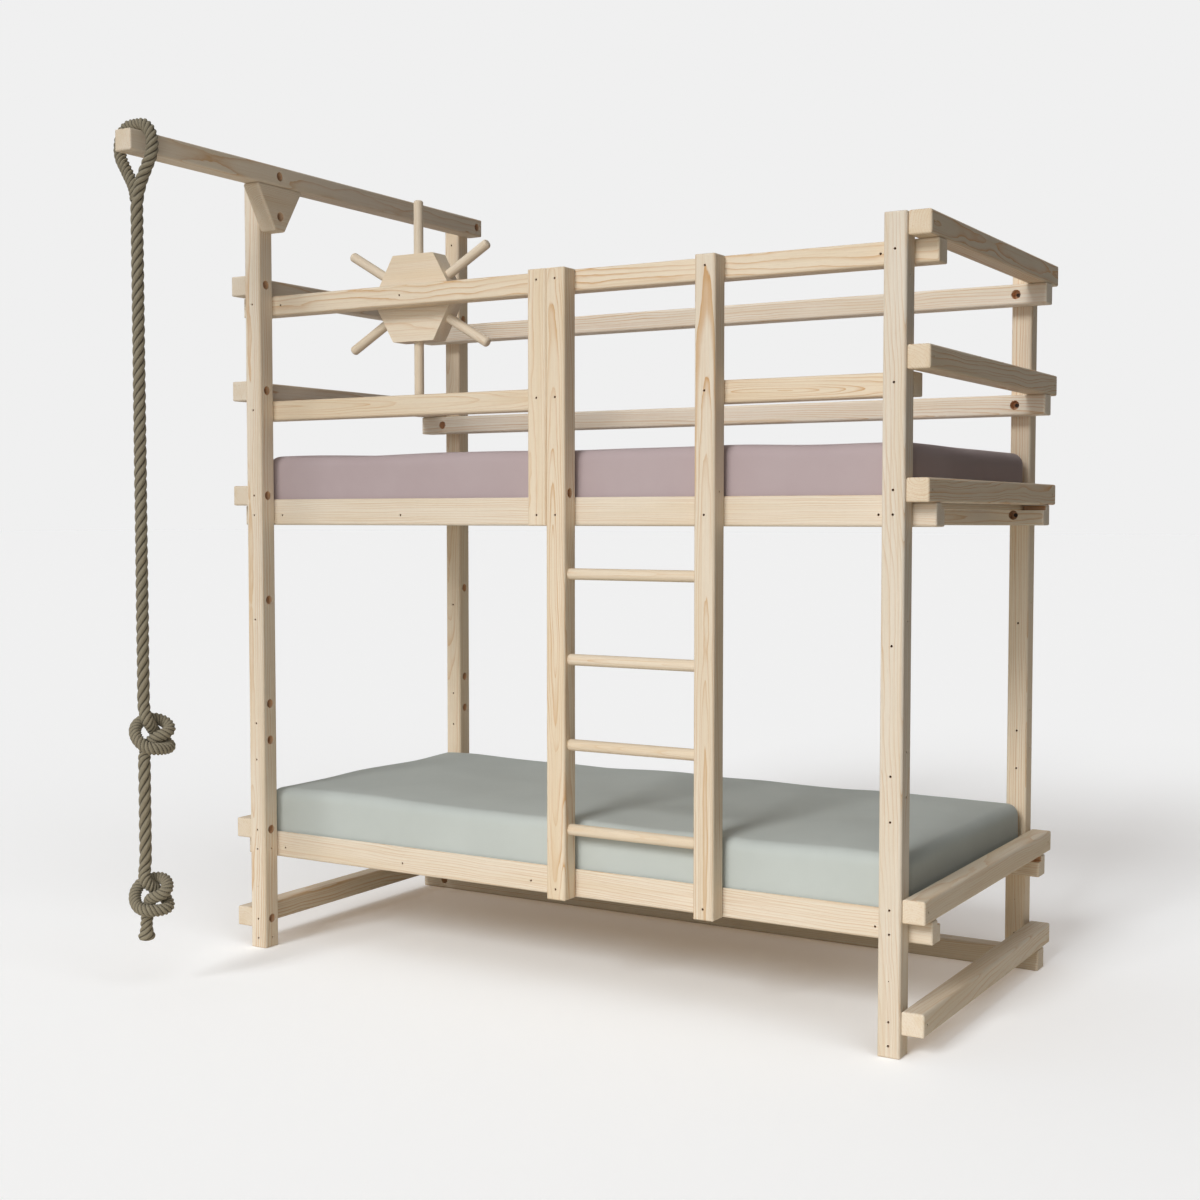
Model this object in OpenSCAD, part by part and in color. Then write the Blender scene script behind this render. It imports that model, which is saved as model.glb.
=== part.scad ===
// Bunk bed of squared pine bars with a ladder, a hoist beam, a steering wheel and a climbing rope.
// Millimetres. +X runs along the bed to its right end, +Y to its back, +Z up.
// The origin is the centre of the left front post's foot.

/* [Timber] */
// Side of the square bars that the whole frame is made of
beam = 57; // [54:1:62]
// Radius along the long edges of a bar
edge_r = 7; // [3:0.5:9]
// Radius round the sawn ends of a bar
end_r = 5; // [2:0.5:8]

/* [Mattresses] */
// Length of a mattress
mattress_l = 2000; // [1900:10:2100]
// Width of a mattress
mattress_w = 900; // [800:10:1000]
// Thickness of a mattress at its edge
mattress_t = 145; // [100:2:170]
// How far the middle of a mattress stands above its edge
crown = 6; // [0:1:15]
// Free length between a mattress and an end rail
end_gap = 7.5; // [5:0.5:15]
// Free width between a mattress and the posts
side_gap = 10.5; // [6:0.5:15]
// How far the outer edge of a bed rail stands up beside its mattress
rail_lip = 18; // [4:1:25]
// Free width between a mattress and that edge
lip_gap = 0.5; // [0.3:0.1:1.5]
// Radius of a mattress round its upright corners
mattress_corner_r = 55; // [40:5:80]
// Radius of a mattress along its top edge
mattress_top_r = 36; // [20:2:45]
// Radius of a mattress along its bottom edge
mattress_bottom_r = 16; // [10:2:30]
// How far the sides of a mattress pull in between its corners
mattress_pull = 4; // [0:1:8]

/* [Slats] */
// Number of slats under a mattress
slat_count = 14; // [10:1:16]
// Width of a slat
slat_w = 90; // [60:5:100]
// Thickness of a slat, which is also the depth of the step it lies in
slat_t = 15; // [12:0.5:15]
// How far a slat reaches over its rail
slat_seat = 24; // [18:1:26]
// Free length at each end of a slat
slat_play = 1; // [0.5:0.5:3]
// From an end post's outer face to the first slat
slat_end = 6.5; // [5:0.5:20]

/* [Levels] */
// Rise from the floor rail to the lower bed's side rails
lower_rise = 264; // [200:1:300]
// Rise from the lower bed's side rails to the upper bed's
bed_rise = 979; // [900:1:1050]
// Rise from one guard rail to the next
guard_pitch = 304; // [260:1:320]
// How far an end rail's front end lies behind the front posts' front face
end_rail_inset = 6; // [0:1:12]

/* [Ladder] */
// Clear width between the stiles
ladder_gap = 376; // [330:1:400]
// Height of the first rung above the stiles' feet
rung_start = 185.5; // [160:0.5:200]
// Rise from rung to rung
rung_pitch = 223; // [200:1:230]
// Diameter of a rung
rung_d = 30; // [26:1:34]
// Depth of a rung's blind hole in a stile
rung_depth = 30; // [20:1:38]

/* [Hoist] */
// How far the hoist beam reaches out in front of the posts
hoist_reach = 540; // [400:10:600]
// Width of the bracket at its top
bracket_top_w = 184; // [150:2:220]
// Width of the bracket at its foot
bracket_foot_w = 48; // [40:2:60]
// Height of the bracket
bracket_h = 127; // [110:1:140]
// Radius of the bracket's corners and edges
bracket_r = 7; // [4:1:12]

/* [Bolts] */
// Diameter of a bolt's shank
bolt_d = 6; // [5:0.5:8]
// Diameter of a bolt's head
bolt_head_d = 10; // [9:0.5:14]
// Height of a bolt's head
bolt_head_h = 6; // [4:0.5:8]
// Width across the hexagon in a bolt's head
bolt_key = 5; // [4:0.5:6]
// Diameter of the counterbore that a bolt's head lies in
sink_d = 26; // [20:0.5:26]
// Depth of that counterbore
sink_depth = 27; // [20:1:32]
// Room between a bolt's shank and its hole, all round
bolt_play = 0.1; // [0.05:0.05:0.4]
// How far the tip of a bolt stops short of the far face
bolt_stop = 12; // [6:1:20]

/* [Steering wheel] */
// From the hub's centre to its corners
hub_r = 140; // [120:5:150]
// Thickness of the hub
hub_t = 57; // [45:1:60]
// From the wheel's centre to the tip of a handle
wheel_r = 274; // [240:2:276]
// Diameter of a handle
handle_d = 27; // [22:1:30]
// Depth of a handle's blind hole in the hub
handle_depth = 40; // [25:1:50]
// Diameter of the bolt that the wheel turns on
axle_d = 8; // [7:0.5:9]
// Room between that bolt and the hub's bore, all round
axle_play = 0.05; // [0.02:0.01:0.1]
// Thickness of the spacer ring between rail and hub
spacer_t = 5; // [3:0.5:8]

/* [Rope] */
// Diameter of the rope
rope_d = 32; // [28:1:34]
// From the hoist beam's front end to the rope
rope_inset = 47; // [40:1:70]
// Room between the rope's eye and the hoist beam
eye_play = 0.3; // [0.2:0.1:1]
// From the hoist beam's centre down to the pivot under the eye
pivot_drop = 140; // [135:1:160]
// Height of the upper knot above the floor
knot_high = 695; // [600:5:800]
// Height of the lower knot above the floor
knot_low = 269; // [262:1:400]
// Height of the rope's lower end above the floor
rope_end = 139; // [60:1:145]
// Greatest diameter of the flared lower end
flare_d = 47; // [36:1:52]

/* [Hidden] */

$fn = 48;
half = beam / 2;
// Face to face room between pieces that only rest on each other
rest_play = 0.3;
// Overlap that cutting tools get past a face
past = 1;

// Places of the upright bars
x_left = 0;
x_right = mattress_l + 2 * end_gap - beam;
x_guard = x_right / 2;
x_stile_left = x_guard + beam;
x_stile_right = x_stile_left + ladder_gap + beam;
y_front = 0;
y_back = mattress_w + 2 * side_gap + beam;

// Levels of the side rails' centres; an end rail lies one bar higher
z_floor = half;
z_low = z_floor + lower_rise;
z_up = z_low + bed_rise;
z_mid = z_up + guard_pitch;
z_top = z_mid + guard_pitch;
z_hoist = z_top + guard_pitch + beam;
post_h_left = z_hoist + half;
post_h_right = z_top + beam + half;
rail_levels = [z_floor, z_low, z_up, z_mid, z_top];
spare_levels = [z_low + lower_rise, z_up - 2 * guard_pitch, z_up - guard_pitch];

// The side rails lie behind the front posts and before the back posts
y_rail_front = y_front + beam;
y_rail_back = y_back - beam;
x_rail_from = x_left - beam - half;
x_rail_to = x_right + beam + half;
x_end_left = x_left - beam;
x_end_right = x_right + beam;
y_end_from = y_front - half + end_rail_inset;
y_end_to = y_back + half;

// Holes
// The level of the bolt through the guard post and the left stile
z_pair = z_up + beam;
hole_d = bolt_d + 2 * bolt_play;
mark_d = 3;
mark_depth = 6;
mark_z = 182;
pilot_depth = 12;
x_pilot = beam;
x_wheel = x_guard / 2;

// Hoist beam and bracket, bolted to the inner side of the left posts
x_hoist = x_left + beam;
y_hoist_from = y_front - half - hoist_reach;
z_bracket_bolt = z_hoist - 2 * beam;

// Steering wheel, on the back of the top front rail
z_wheel = z_top;
y_hub_front = y_rail_front + half + spacer_t;
y_hub_back = y_hub_front + hub_t;
axle_head_d = 13;
axle_head_h = 5;
washer_d = 22;
washer_t = 2;
hub_edge_r = 5;
handle_tip_r = 8;
spacer_d = 34;

// Rope
x_rope = x_hoist;
y_rope = y_hoist_from + rope_inset;
z_pivot = z_hoist - pivot_drop;
rope_r = rope_d / 2;
rope_sides = 10;
// The knots take their room in units a little wider than the rope, so that its turns stay apart
knot_unit = rope_d + 1;
knot_turn_high = 46;
knot_turn_low = 9;
// An overhand knot from top to bottom: to the right, up, and towards the front
KNOT = [
    [0, 3, 0], [0, 2.3, 0.05], [0.1, 1.65, 0.3], [0.25, 1.1, 0.45], [0.5, 0.6, 0.2],
    [0.75, 0.15, -0.3], [1.05, -0.3, -0.65], [1.5, -0.7, -0.7], [1.9, -1.05, -0.35],
    [1.95, -1.2, 0.2], [1.55, -1.25, 0.75], [0.8, -1.2, 1.2], [0.1, -1, 1.15],
    [-0.45, -0.5, 0.85], [-0.7, 0.1, 0.35], [-0.55, 0.6, -0.15], [-0.1, 0.9, -0.55],
    [0.5, 1, -0.85], [1.15, 0.95, -0.8], [1.7, 0.7, -0.5], [2, 0.3, 0], [1.8, 0, 0.4],
    [1.3, -0.2, 0.6], [0.8, -0.45, 0.5], [0.4, -0.85, 0.1], [0.15, -1.4, -0.15],
    [0, -2.05, -0.1], [0, -2.6, 0]
];

// Colours
pine = "#dcc7a2";
rope_olive = "#716a55";

// Plain helpers

module rounded_rect(w, h, r) {
    square([w - 2 * r, h], center = true);
    square([w, h - 2 * r], center = true);
    for (x = [-1, 1], y = [-1, 1])
        translate([x * (w / 2 - r), y * (h / 2 - r)]) circle(r);
}

// A squared bar along X from the origin, with rounded long edges and softened ends
module bar(length) {
    intersection() {
        rotate([90, 0, 90]) linear_extrude(length) rounded_rect(beam, beam, edge_r);
        translate([length / 2, 0, 0]) rotate([90, 0, 0])
            linear_extrude(beam + 2 * past, center = true) rounded_rect(length, beam, end_r);
        translate([length / 2, 0, 0])
            linear_extrude(beam + 2 * past, center = true) rounded_rect(length, beam, end_r);
    }
}

module bar_x(from, to, y, z) translate([from, y, z]) bar(to - from);

module bar_y(from, to, x, z) translate([x, from, z]) rotate([0, 0, 90]) bar(to - from);

module bar_z(from, to, x, y) translate([x, y, from]) rotate([0, -90, 0]) bar(to - from);

// Round tools for holes along X and along Y
module drill_x(from, to, y, z, d) translate([from, y, z]) rotate([0, 90, 0]) cylinder(h = to - from, d = d);

module drill_y(from, to, x, z, d) translate([x, from, z]) rotate([-90, 0, 0]) cylinder(h = to - from, d = d);

// A bolt hole right through two bars that lie side by side
module through_x(y, z) drill_x(x_rail_from - beam, x_rail_to + beam, y, z, hole_d);

module through_y(x, z) drill_y(y_front - beam, y_back + beam, x, z, hole_d);

// Counterbore from a face at "face" into the wood, towards -side
module sink_x(face, side, y, z) drill_x(
    side > 0 ? face - sink_depth : face - past,
    side > 0 ? face + past : face + sink_depth, y, z, sink_d);

module sink_y(face, side, x, z) drill_y(
    side > 0 ? face - sink_depth : face - past,
    side > 0 ? face + past : face + sink_depth, x, z, sink_d);

// Where the front rails are bolted, rail by rail
joints_top = [x_left, x_guard, x_stile_left, x_stile_right, x_right];
joints_mid_left = [x_left, x_guard];
joints_mid_right = [x_stile_right, x_right];
joints_upper_bed = [x_left, x_guard, x_stile_left, x_stile_right, x_right];
joints_lower_bed = [x_left, x_stile_left, x_stile_right, x_right];
front_joints = [
    [z_top, joints_top], [z_mid, joints_mid_left], [z_mid, joints_mid_right],
    [z_up, joints_upper_bed], [z_low, joints_lower_bed]
];

// Posts. inner is +1 where the bed lies on the post's right, -1 where it lies on its left.
module post(x, y, height, inner) {
    difference() {
        bar_z(0, height, x, y);
        for (z = concat(rail_levels, spare_levels)) {
            through_y(x, z);
            through_x(y, z + beam);
            sink_x(x + inner * half, inner, y, z + beam);
        }
        for (z = [z_floor, z_low, z_up])
            drill_y(y - half - past, y - half + pilot_depth, x, z + beam, hole_d);
        drill_y(y - half - past, y - half + mark_depth, x, mark_z, mark_d);
        children();
    }
}

module post_left(y) {
    color(pine) post(x_left, y, post_h_left, 1) {
        through_x(y, z_hoist);
        through_y(x_left, z_hoist - beam);
        for (z = [z_floor, z_low])
            drill_x(x_left + half - pilot_depth, x_left + half + past, y, z, hole_d);
    }
}

module post_front_left() {
    difference() {
        post_left(y_front);
        through_x(y_front, z_bracket_bolt);
    }
}

module post_back_left() post_left(y_back);

module post_right(y) {
    color(pine) post(x_right, y, post_h_right, -1)
        drill_x(x_right + half - pilot_depth, x_right + half + past, y, z_top - beam, hole_d);
}

module post_front_right() post_right(y_front);

module post_back_right() post_right(y_back);

// The short post and the stiles stand before the front rails
module front_upright(x, from, to, levels) {
    difference() {
        bar_z(from, to, x, y_front);
        for (z = levels) through_y(x, z);
        children();
    }
}

// A bolt along X holds the guard post to the ladder's left stile
module guard_post() {
    color(pine) front_upright(x_guard, z_up - half, z_top + half, [z_up, z_mid, z_top])
        through_x(y_front, z_pair);
}

rung_levels = [for (i = [0:3]) z_low - half + rung_start + i * rung_pitch];

// side is +1 where the rungs lie on the stile's right
module stile(x, side) {
    color(pine) front_upright(x, z_low - half, z_top + half, [z_low, z_up, z_mid, z_top]) {
        for (z = rung_levels)
            drill_x(side > 0 ? x + half - rung_depth : x - half - past,
                side > 0 ? x + half + past : x - half + rung_depth, y_front, z, rung_d + 2 * bolt_play);
        children();
    }
}

module ladder_stile_left() stile(x_stile_left, 1) {
    through_x(y_front, z_pair);
    sink_x(x_stile_left + half, 1, y_front, z_pair);
}

module ladder_stile_right() stile(x_stile_right, -1)
    drill_x(x_stile_right + half - pilot_depth, x_stile_right + half + past, y_front, z_pair, hole_d);

// A rung reaches into both stiles, short of the blind holes' bottoms
module ladder_rung(i) {
    reach = rung_depth - rest_play;
    color(pine) drill_x(x_stile_left + half - reach, x_stile_right - half + reach,
        y_front, rung_levels[i], rung_d);
}

// The raised outer edge of a bed rail, flush with its outer face, which ends behind the end posts
module raised_edge(y, z, face) {
    lip_t = side_gap - lip_gap;
    h = half + rail_lip;
    translate([x_left, y - face * (half - lip_t / 2), z + h / 2]) rotate([90, 0, 90])
        linear_extrude(x_right - x_left) rounded_rect(lip_t, h, min(edge_r, lip_t / 2 - 0.5));
}

// Side rails. face is +1 where the rail's inner face looks to +Y.
module side_rail(from, to, y, z, face, joints, raised = false) {
    difference() {
        union() {
            bar_x(from, to, y, z);
            if (raised) raised_edge(y, z, face);
        }
        for (x = joints) {
            through_y(x, z);
            sink_y(y + face * half, face, x, z);
        }
        children();
    }
}

// The step along the inner top edge of a bed rail, with the slat screws' holes
module slat_step(y, z, face) {
    depth = slat_seat + past;
    translate([x_rail_from - past, face > 0 ? y + half - slat_seat : y - half - past, z + half - slat_t])
        cube([x_rail_to - x_rail_from + 2 * past, depth, slat_t + past]);
    for (x = slat_centres)
        translate([x, y + face * (half - slat_seat / 2), z + half - slat_t - slat_screw_bite - rest_play])
            cylinder(h = slat_t, d = slat_screw_d + 2 * bolt_play);
}

module front_rail_top() {
    color(pine) side_rail(x_rail_from, x_rail_to, y_rail_front, z_top, 1, joints_top) {
        for (x = [x_pilot, x_right - x_pilot, x_wheel]) through_y(x, z_top);
        drill_y(y_rail_front - half + bolt_stop, y_rail_front + half + past, x_wheel, z_top,
            axle_d + 2 * bolt_play);
    }
}

module front_rail_mid_left() {
    color(pine) side_rail(x_left - half, x_guard + half, y_rail_front, z_mid, 1, joints_mid_left);
}

module front_rail_mid_right() {
    color(pine) side_rail(x_stile_right - half, x_right + half, y_rail_front, z_mid, 1, joints_mid_right);
}

module front_rail_upper_bed() {
    color(pine) side_rail(x_rail_from, x_rail_to, y_rail_front, z_up, 1, joints_upper_bed, true) {
        slat_step(y_rail_front, z_up, 1);
        for (x = [x_pilot, x_right - x_pilot, x_wheel]) through_y(x, z_up);
    }
}

module front_rail_lower_bed() {
    color(pine) side_rail(x_rail_from, x_rail_to, y_rail_front, z_low, 1, joints_lower_bed, true) {
        slat_step(y_rail_front, z_low, 1);
        for (x = [x_pilot, x_right - x_pilot, x_wheel, x_guard - beam]) through_y(x, z_low);
    }
}

module back_rail(z, raised = false) {
    color(pine) side_rail(x_rail_from, x_rail_to, y_rail_back, z, -1, [x_left, x_right], raised) children();
}

module back_rail_top() back_rail(z_top) {}

module back_rail_mid() back_rail(z_mid) {}

module back_rail_upper_bed() back_rail(z_up, true) slat_step(y_rail_back, z_up, -1);

module back_rail_lower_bed() back_rail(z_low, true) slat_step(y_rail_back, z_low, -1);

module back_rail_floor() back_rail(z_floor) {}

// End rails lie on the side rails' ends and are bolted to the posts' outer faces
module end_rail(x, z) {
    color(pine) difference() {
        bar_y(y_end_from, y_end_to, x, z + beam);
        for (y = [y_front, y_back]) through_x(y, z + beam);
    }
}

// Hoist beam with its two counterbored bolts
module hoist_beam() {
    color(pine) difference() {
        bar_y(y_hoist_from, y_end_to, x_hoist, z_hoist);
        for (y = [y_front, y_back]) {
            through_x(y, z_hoist);
            sink_x(x_hoist + half, 1, y, z_hoist);
        }
    }
}

// A thick trapezoid under the hoist beam, with all its edges rounded
module hoist_bracket() {
    top = bracket_top_w / 2 - bracket_r;
    foot = bracket_foot_w / 2 - bracket_r;
    color(pine) translate([x_hoist, y_front, z_hoist - half]) difference() {
        hull() for (x = [-1, 1], y = [-1, 1]) {
            translate([x * (half - bracket_r), y * top, -bracket_r]) sphere(bracket_r, $fn = 32);
            translate([x * (half - bracket_r), y * foot, bracket_r - bracket_h])
                sphere(bracket_r, $fn = 32);
        }
        drill_x(-beam, beam, 0, z_bracket_bolt - z_hoist + half, hole_d);
        sink_x(half, 1, 0, z_bracket_bolt - z_hoist + half);
    }
}

// Slats lie in the steps of the bed rails, flush with their tops
slat_screw_d = 4;
slat_screw_head_d = 8;
slat_screw_head_h = 2.4;
slat_screw_bite = 10;
slat_from = x_left - half + slat_end + slat_w / 2;
slat_to = x_right + half - slat_end - slat_w / 2;
slat_centres = [for (i = [0:slat_count - 1]) slat_from + i * (slat_to - slat_from) / (slat_count - 1)];
y_slat_front = y_rail_front + half - slat_seat;
y_slat_back = y_rail_back - half + slat_seat;
y_slat_screws = [y_slat_front + slat_seat / 2, y_slat_back - slat_seat / 2];

module slats(z) {
    top = z + half;
    color(pine) for (x = slat_centres) difference() {
        translate([x - slat_w / 2, y_slat_front + slat_play, top - slat_t])
            cube([slat_w, y_slat_back - y_slat_front - 2 * slat_play, slat_t]);
        for (y = y_slat_screws) {
            translate([x, y, top - slat_t - past])
                cylinder(h = slat_t + 2 * past, d = slat_screw_d + 2 * bolt_play);
            translate([x, y, top - slat_screw_head_h])
                cylinder(h = slat_screw_head_h + past, d = slat_screw_head_d + 2 * bolt_play);
        }
    }
}

module slat_screws(z) {
    top = z + half;
    color("silver") for (x = slat_centres, y = y_slat_screws) translate([x, y, top]) difference() {
        union() {
            translate([0, 0, -slat_t - slat_screw_bite])
                cylinder(h = slat_t + slat_screw_bite - slat_screw_head_h + 0.2, d = slat_screw_d);
            translate([0, 0, -slat_screw_head_h])
                cylinder(h = slat_screw_head_h - rest_play, d = slat_screw_head_d);
        }
        for (a = [0, 90]) rotate([0, 0, a])
            translate([-2, -0.5, -1.4]) cube([4, 1, 2]);
    }
}

// Mattresses: flat below, crowned above, with rounded edges and sides that pull in a little.
// inset is how far a ring lies inside the mattress's outline.
function mattress_ring(inset, z) =
    let (
        r = max(mattress_corner_r - inset, 4),
        cx = mattress_l / 2 - inset - r,
        cy = mattress_w / 2 - inset - r,
        per_corner = 5,
        per_side = 6
    )
    [for (q = [0:3])
        let (sx = q == 0 || q == 3 ? 1 : -1, sy = q < 2 ? 1 : -1, along_x = q == 0 || q == 2)
        each concat(
            [for (i = [0:per_corner]) let (a = 90 * q + 90 * i / per_corner)
                [sx * cx + r * cos(a), sy * cy + r * sin(a), z]],
            [for (i = [1:per_side - 1])
                let (t = 1 - 2 * i / per_side, pull = mattress_pull * (1 - t * t))
                along_x
                    ? [sx * cx * t, sy * (cy + r - pull), z]
                    : [sx * (cx + r - pull), sy * cy * t, z]]
        )
    ];

mattress_rings = let (rb = mattress_bottom_r, rt = mattress_top_r, t = mattress_t) concat(
    [[110, 0]],
    [for (a = [0:30:90]) [rb * (1 - sin(a)), rb * (1 - cos(a))]],
    [[0, t / 2 - 10]],
    [for (a = [0:15:90]) [rt * (1 - cos(a)), t - rt * (1 - sin(a))]],
    [for (d = [90, 180, 300]) [d, t + crown * (1 - pow(1 - d / 300, 2))]]
);

module mattress(z, colour) {
    rings = [for (r = mattress_rings) mattress_ring(r[0], r[1])];
    points = [for (r = rings) each r];
    n = len(rings[0]);
    last = len(rings) - 1;
    sides = [for (k = [0:last - 1], i = [0:n - 1])
        let (j = (i + 1) % n, a = k * n, b = a + n)
        each [[a + j, a + i, b + i], [a + j, b + i, b + j]]];
    color(colour) translate([x_right / 2, (y_front + y_back) / 2, z + half + rest_play])
        polyhedron(points, concat(sides,
            [[for (i = [0:n - 1]) i]], [[for (i = [n - 1:-1:0]) last * n + i]]), convexity = 2);
}

// Steering wheel

// A hexagon with rounded corners, its flats at the top and the bottom
module hub_outline() {
    r = hub_edge_r;
    c = hub_r - r / cos(30);
    polygon([for (k = [0:5], s = [-1, 1])
        [c * cos(60 * k) + r * cos(60 * k + 30 * s), c * sin(60 * k) + r * sin(60 * k + 30 * s)]]);
    for (k = [0:5]) translate(c * [cos(60 * k), sin(60 * k)]) circle(r);
}

handle_angles = [for (i = [0:5]) 30 + 60 * i];
hub_flat_r = hub_r * cos(30);

// Puts children drawn with +Z as the wheel's axis, from the hub's front face to its back, in place
module at_wheel() translate([x_wheel, y_hub_front, z_wheel]) rotate([-90, 0, 0]) children();

module wheel_hub() {
    color(pine) at_wheel() difference() {
        intersection() {
            linear_extrude(hub_t) hub_outline();
            for (a = [30, 90, 150]) rotate([0, 0, a]) translate([0, 0, hub_t / 2]) rotate([90, 0, 0])
                linear_extrude(4 * hub_r, center = true) rounded_rect(2 * hub_flat_r, hub_t, hub_edge_r);
        }
        translate([0, 0, -past]) cylinder(h = hub_t + 2 * past, d = axle_d + 2 * axle_play);
        translate([0, 0, hub_t - sink_depth]) cylinder(h = sink_depth + past, d = sink_d);
        for (a = handle_angles) rotate([0, 0, a]) translate([hub_flat_r - handle_depth, 0, hub_t / 2])
            rotate([0, 90, 0]) cylinder(h = handle_depth + past, d = handle_d + 2 * bolt_play);
    }
}

// A dowel with a rounded tip
module wheel_handle(i) {
    foot = hub_flat_r - handle_depth + rest_play;
    r = handle_d / 2;
    color(pine) at_wheel() rotate([0, 0, handle_angles[i]]) translate([0, 0, hub_t / 2])
        rotate([0, 90, 0]) rotate_extrude() {
            translate([0, foot]) square([r, wheel_r - handle_tip_r - foot]);
            translate([0, foot]) square([r - handle_tip_r, wheel_r - foot]);
            translate([r - handle_tip_r, wheel_r - handle_tip_r]) intersection() {
                circle(handle_tip_r);
                square(handle_tip_r);
            }
        }
}

// The bolt is fast in the rail, and the hub turns on it
wheel_bolt_from = sink_depth - hub_t - spacer_t - (beam - bolt_stop) + rest_play;

module wheel_bolt() {
    color("#3a3a38") at_wheel() translate([0, 0, hub_t - sink_depth + rest_play + washer_t]) difference() {
        union() {
            translate([0, 0, wheel_bolt_from - washer_t])
                cylinder(h = washer_t - wheel_bolt_from, d = axle_d);
            cylinder(h = axle_head_h, d = axle_head_d);
        }
        translate([0, 0, axle_head_h / 2]) cylinder(h = axle_head_h, d = bolt_key / cos(30), $fn = 6);
    }
}

module ring(d_out, d_in, h) difference() {
    cylinder(h = h, d = d_out);
    translate([0, 0, -past]) cylinder(h = h + 2 * past, d = d_in);
}

module wheel_washer() {
    color("silver") at_wheel() translate([0, 0, hub_t - sink_depth + rest_play])
        ring(washer_d, axle_d + 2 * bolt_play, washer_t);
}

module wheel_spacer() {
    color("#3a3a38") at_wheel() translate([0, 0, -spacer_t])
        ring(spacer_d, axle_d + 2 * bolt_play, spacer_t - rest_play);
}

// Frame bolts. A bolt is drawn along +Z with its head's seat at the origin, and its tip points down.
bolt_l = 2 * beam - sink_depth - bolt_stop;

module bolt() {
    difference() {
        union() {
            translate([0, 0, -bolt_l]) cylinder(h = bolt_l, d = bolt_d);
            cylinder(h = bolt_head_h, d = bolt_head_d);
        }
        translate([0, 0, bolt_head_h / 2]) cylinder(h = bolt_head_h, d = bolt_key / cos(30), $fn = 6);
    }
}

// side is the way the bolt's head looks
module bolt_x(seat, side, y, z) translate([seat, y, z]) rotate([0, 90 * side, 0]) bolt();

module bolt_y(seat, side, x, z) translate([x, seat, z]) rotate([-90 * side, 0, 0]) bolt();

module bolts_front() {
    color("#3a3a38") {
        for (row = front_joints, x = row[1]) bolt_y(y_rail_front + half - sink_depth, 1, x, row[0]);
        bolt_x(x_stile_left + half - sink_depth, 1, y_front, z_pair);
    }
}

module bolts_back() {
    color("#3a3a38") for (z = rail_levels, x = [x_left, x_right])
        bolt_y(y_rail_back - half + sink_depth, -1, x, z);
}

module bolts_left_end() {
    color("#3a3a38") for (z = rail_levels, y = [y_front, y_back])
        bolt_x(x_left + half - sink_depth, 1, y, z + beam);
}

module bolts_right_end() {
    color("#3a3a38") for (z = rail_levels, y = [y_front, y_back])
        bolt_x(x_right - half + sink_depth, -1, y, z + beam);
}

module bolts_hoist() {
    seat = x_hoist + half - sink_depth;
    color("#3a3a38") {
        for (y = [y_front, y_back]) bolt_x(seat, 1, y, z_hoist);
        bolt_x(seat, 1, y_front, z_bracket_bolt);
    }
}

// Rope

function unit(v) = v / norm(v);

function direction(path, i) = unit(path[min(i + 1, len(path) - 1)] - path[max(i - 1, 0)]);

// A direction across the path at each point, carried along without twist
function across(path) = [
    for (
        i = 0, t = direction(path, 0), a = unit(cross(t, abs(t.x) < 0.9 ? [1, 0, 0] : [0, 1, 0]));
        i < len(path);
        i = i + 1, t = direction(path, min(i, len(path) - 1)), a = unit(a - (a * t) * t)
    ) a
];

// A smooth curve through the points, with "per" steps from each to the next
function smooth(p, per) = concat(
    [for (i = [0:len(p) - 2], k = [0:per - 1])
        let (
            a = p[max(i - 1, 0)], b = p[i], c = p[i + 1], d = p[min(i + 2, len(p) - 1)], t = k / per
        )
        (2 * b + (c - a) * t + (2 * a - 5 * b + 4 * c - d) * t * t + (3 * b - a - 3 * c + d) * t * t * t) / 2],
    [p[len(p) - 1]]
);

// A closed tube round the points of a path, with a radius for each
module tube(path, radii) {
    n = rope_sides;
    side = across(path);
    points = [for (i = [0:len(path) - 1], k = [0:n - 1])
        let (a = side[i], b = cross(direction(path, i), a), w = 360 * k / n)
        path[i] + radii[i] * (a * cos(w) + b * sin(w))];
    walls = [for (i = [0:len(path) - 2], k = [0:n - 1])
        let (j = (k + 1) % n, a = i * n, b = a + n)
        each [[a + j, a + k, b + k], [a + j, b + k, b + j]]];
    last = (len(path) - 1) * n;
    polyhedron(points, concat(walls, [[for (k = [0:n - 1]) k]], [[for (k = [n - 1:-1:0]) last + k]]),
        convexity = 8);
}

// The eye's centre line, half of it: over the hoist beam, slack at its side and into the tail
eye_half = half + eye_play + rope_r;
eye_corner_r = edge_r + eye_play + rope_r + 0.5;
eye_corner = half - edge_r;
rim_h = 9;
eye_path = concat(
    [[0, eye_half], [eye_corner / 2, eye_half]],
    [for (a = [90:-22.5:45]) [eye_corner + eye_corner_r * cos(a), eye_corner + eye_corner_r * sin(a)]],
    [[eye_half + 2, half + 2], [eye_half + 10, 15], [eye_half + 14, -5], [eye_half + 13, -24],
        [eye_half + 7, -42], [eye_half - 3, -57], [eye_half - 12, -73], [eye_half - 22, -90],
        [eye_half - 30, -104], [8, -117], [0, rim_h - pivot_drop]]
);

module rope_eye() {
    color(rope_olive) translate([x_rope, y_rope, 0]) difference() {
        translate([0, 0, z_hoist]) for (s = [-1, 1])
            tube([for (p = eye_path) [s * p.x, 0, p.y]], [for (p = eye_path) rope_r]);
        translate([0, 0, z_pivot]) sphere(r = rope_r + rest_play + 0.2);
    }
}

// A knot's points in place: the first value runs to the right in the knot's own plane
function knot_path(z, turn) = smooth([for (p = KNOT) let (q = p * knot_unit)
    [q.x * cos(turn) + q.z * sin(turn), q.x * sin(turn) - q.z * cos(turn), z + q.y]], 2);

knot_top = KNOT[0].y * knot_unit;
knot_foot = -KNOT[len(KNOT) - 1].y * knot_unit;

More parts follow.
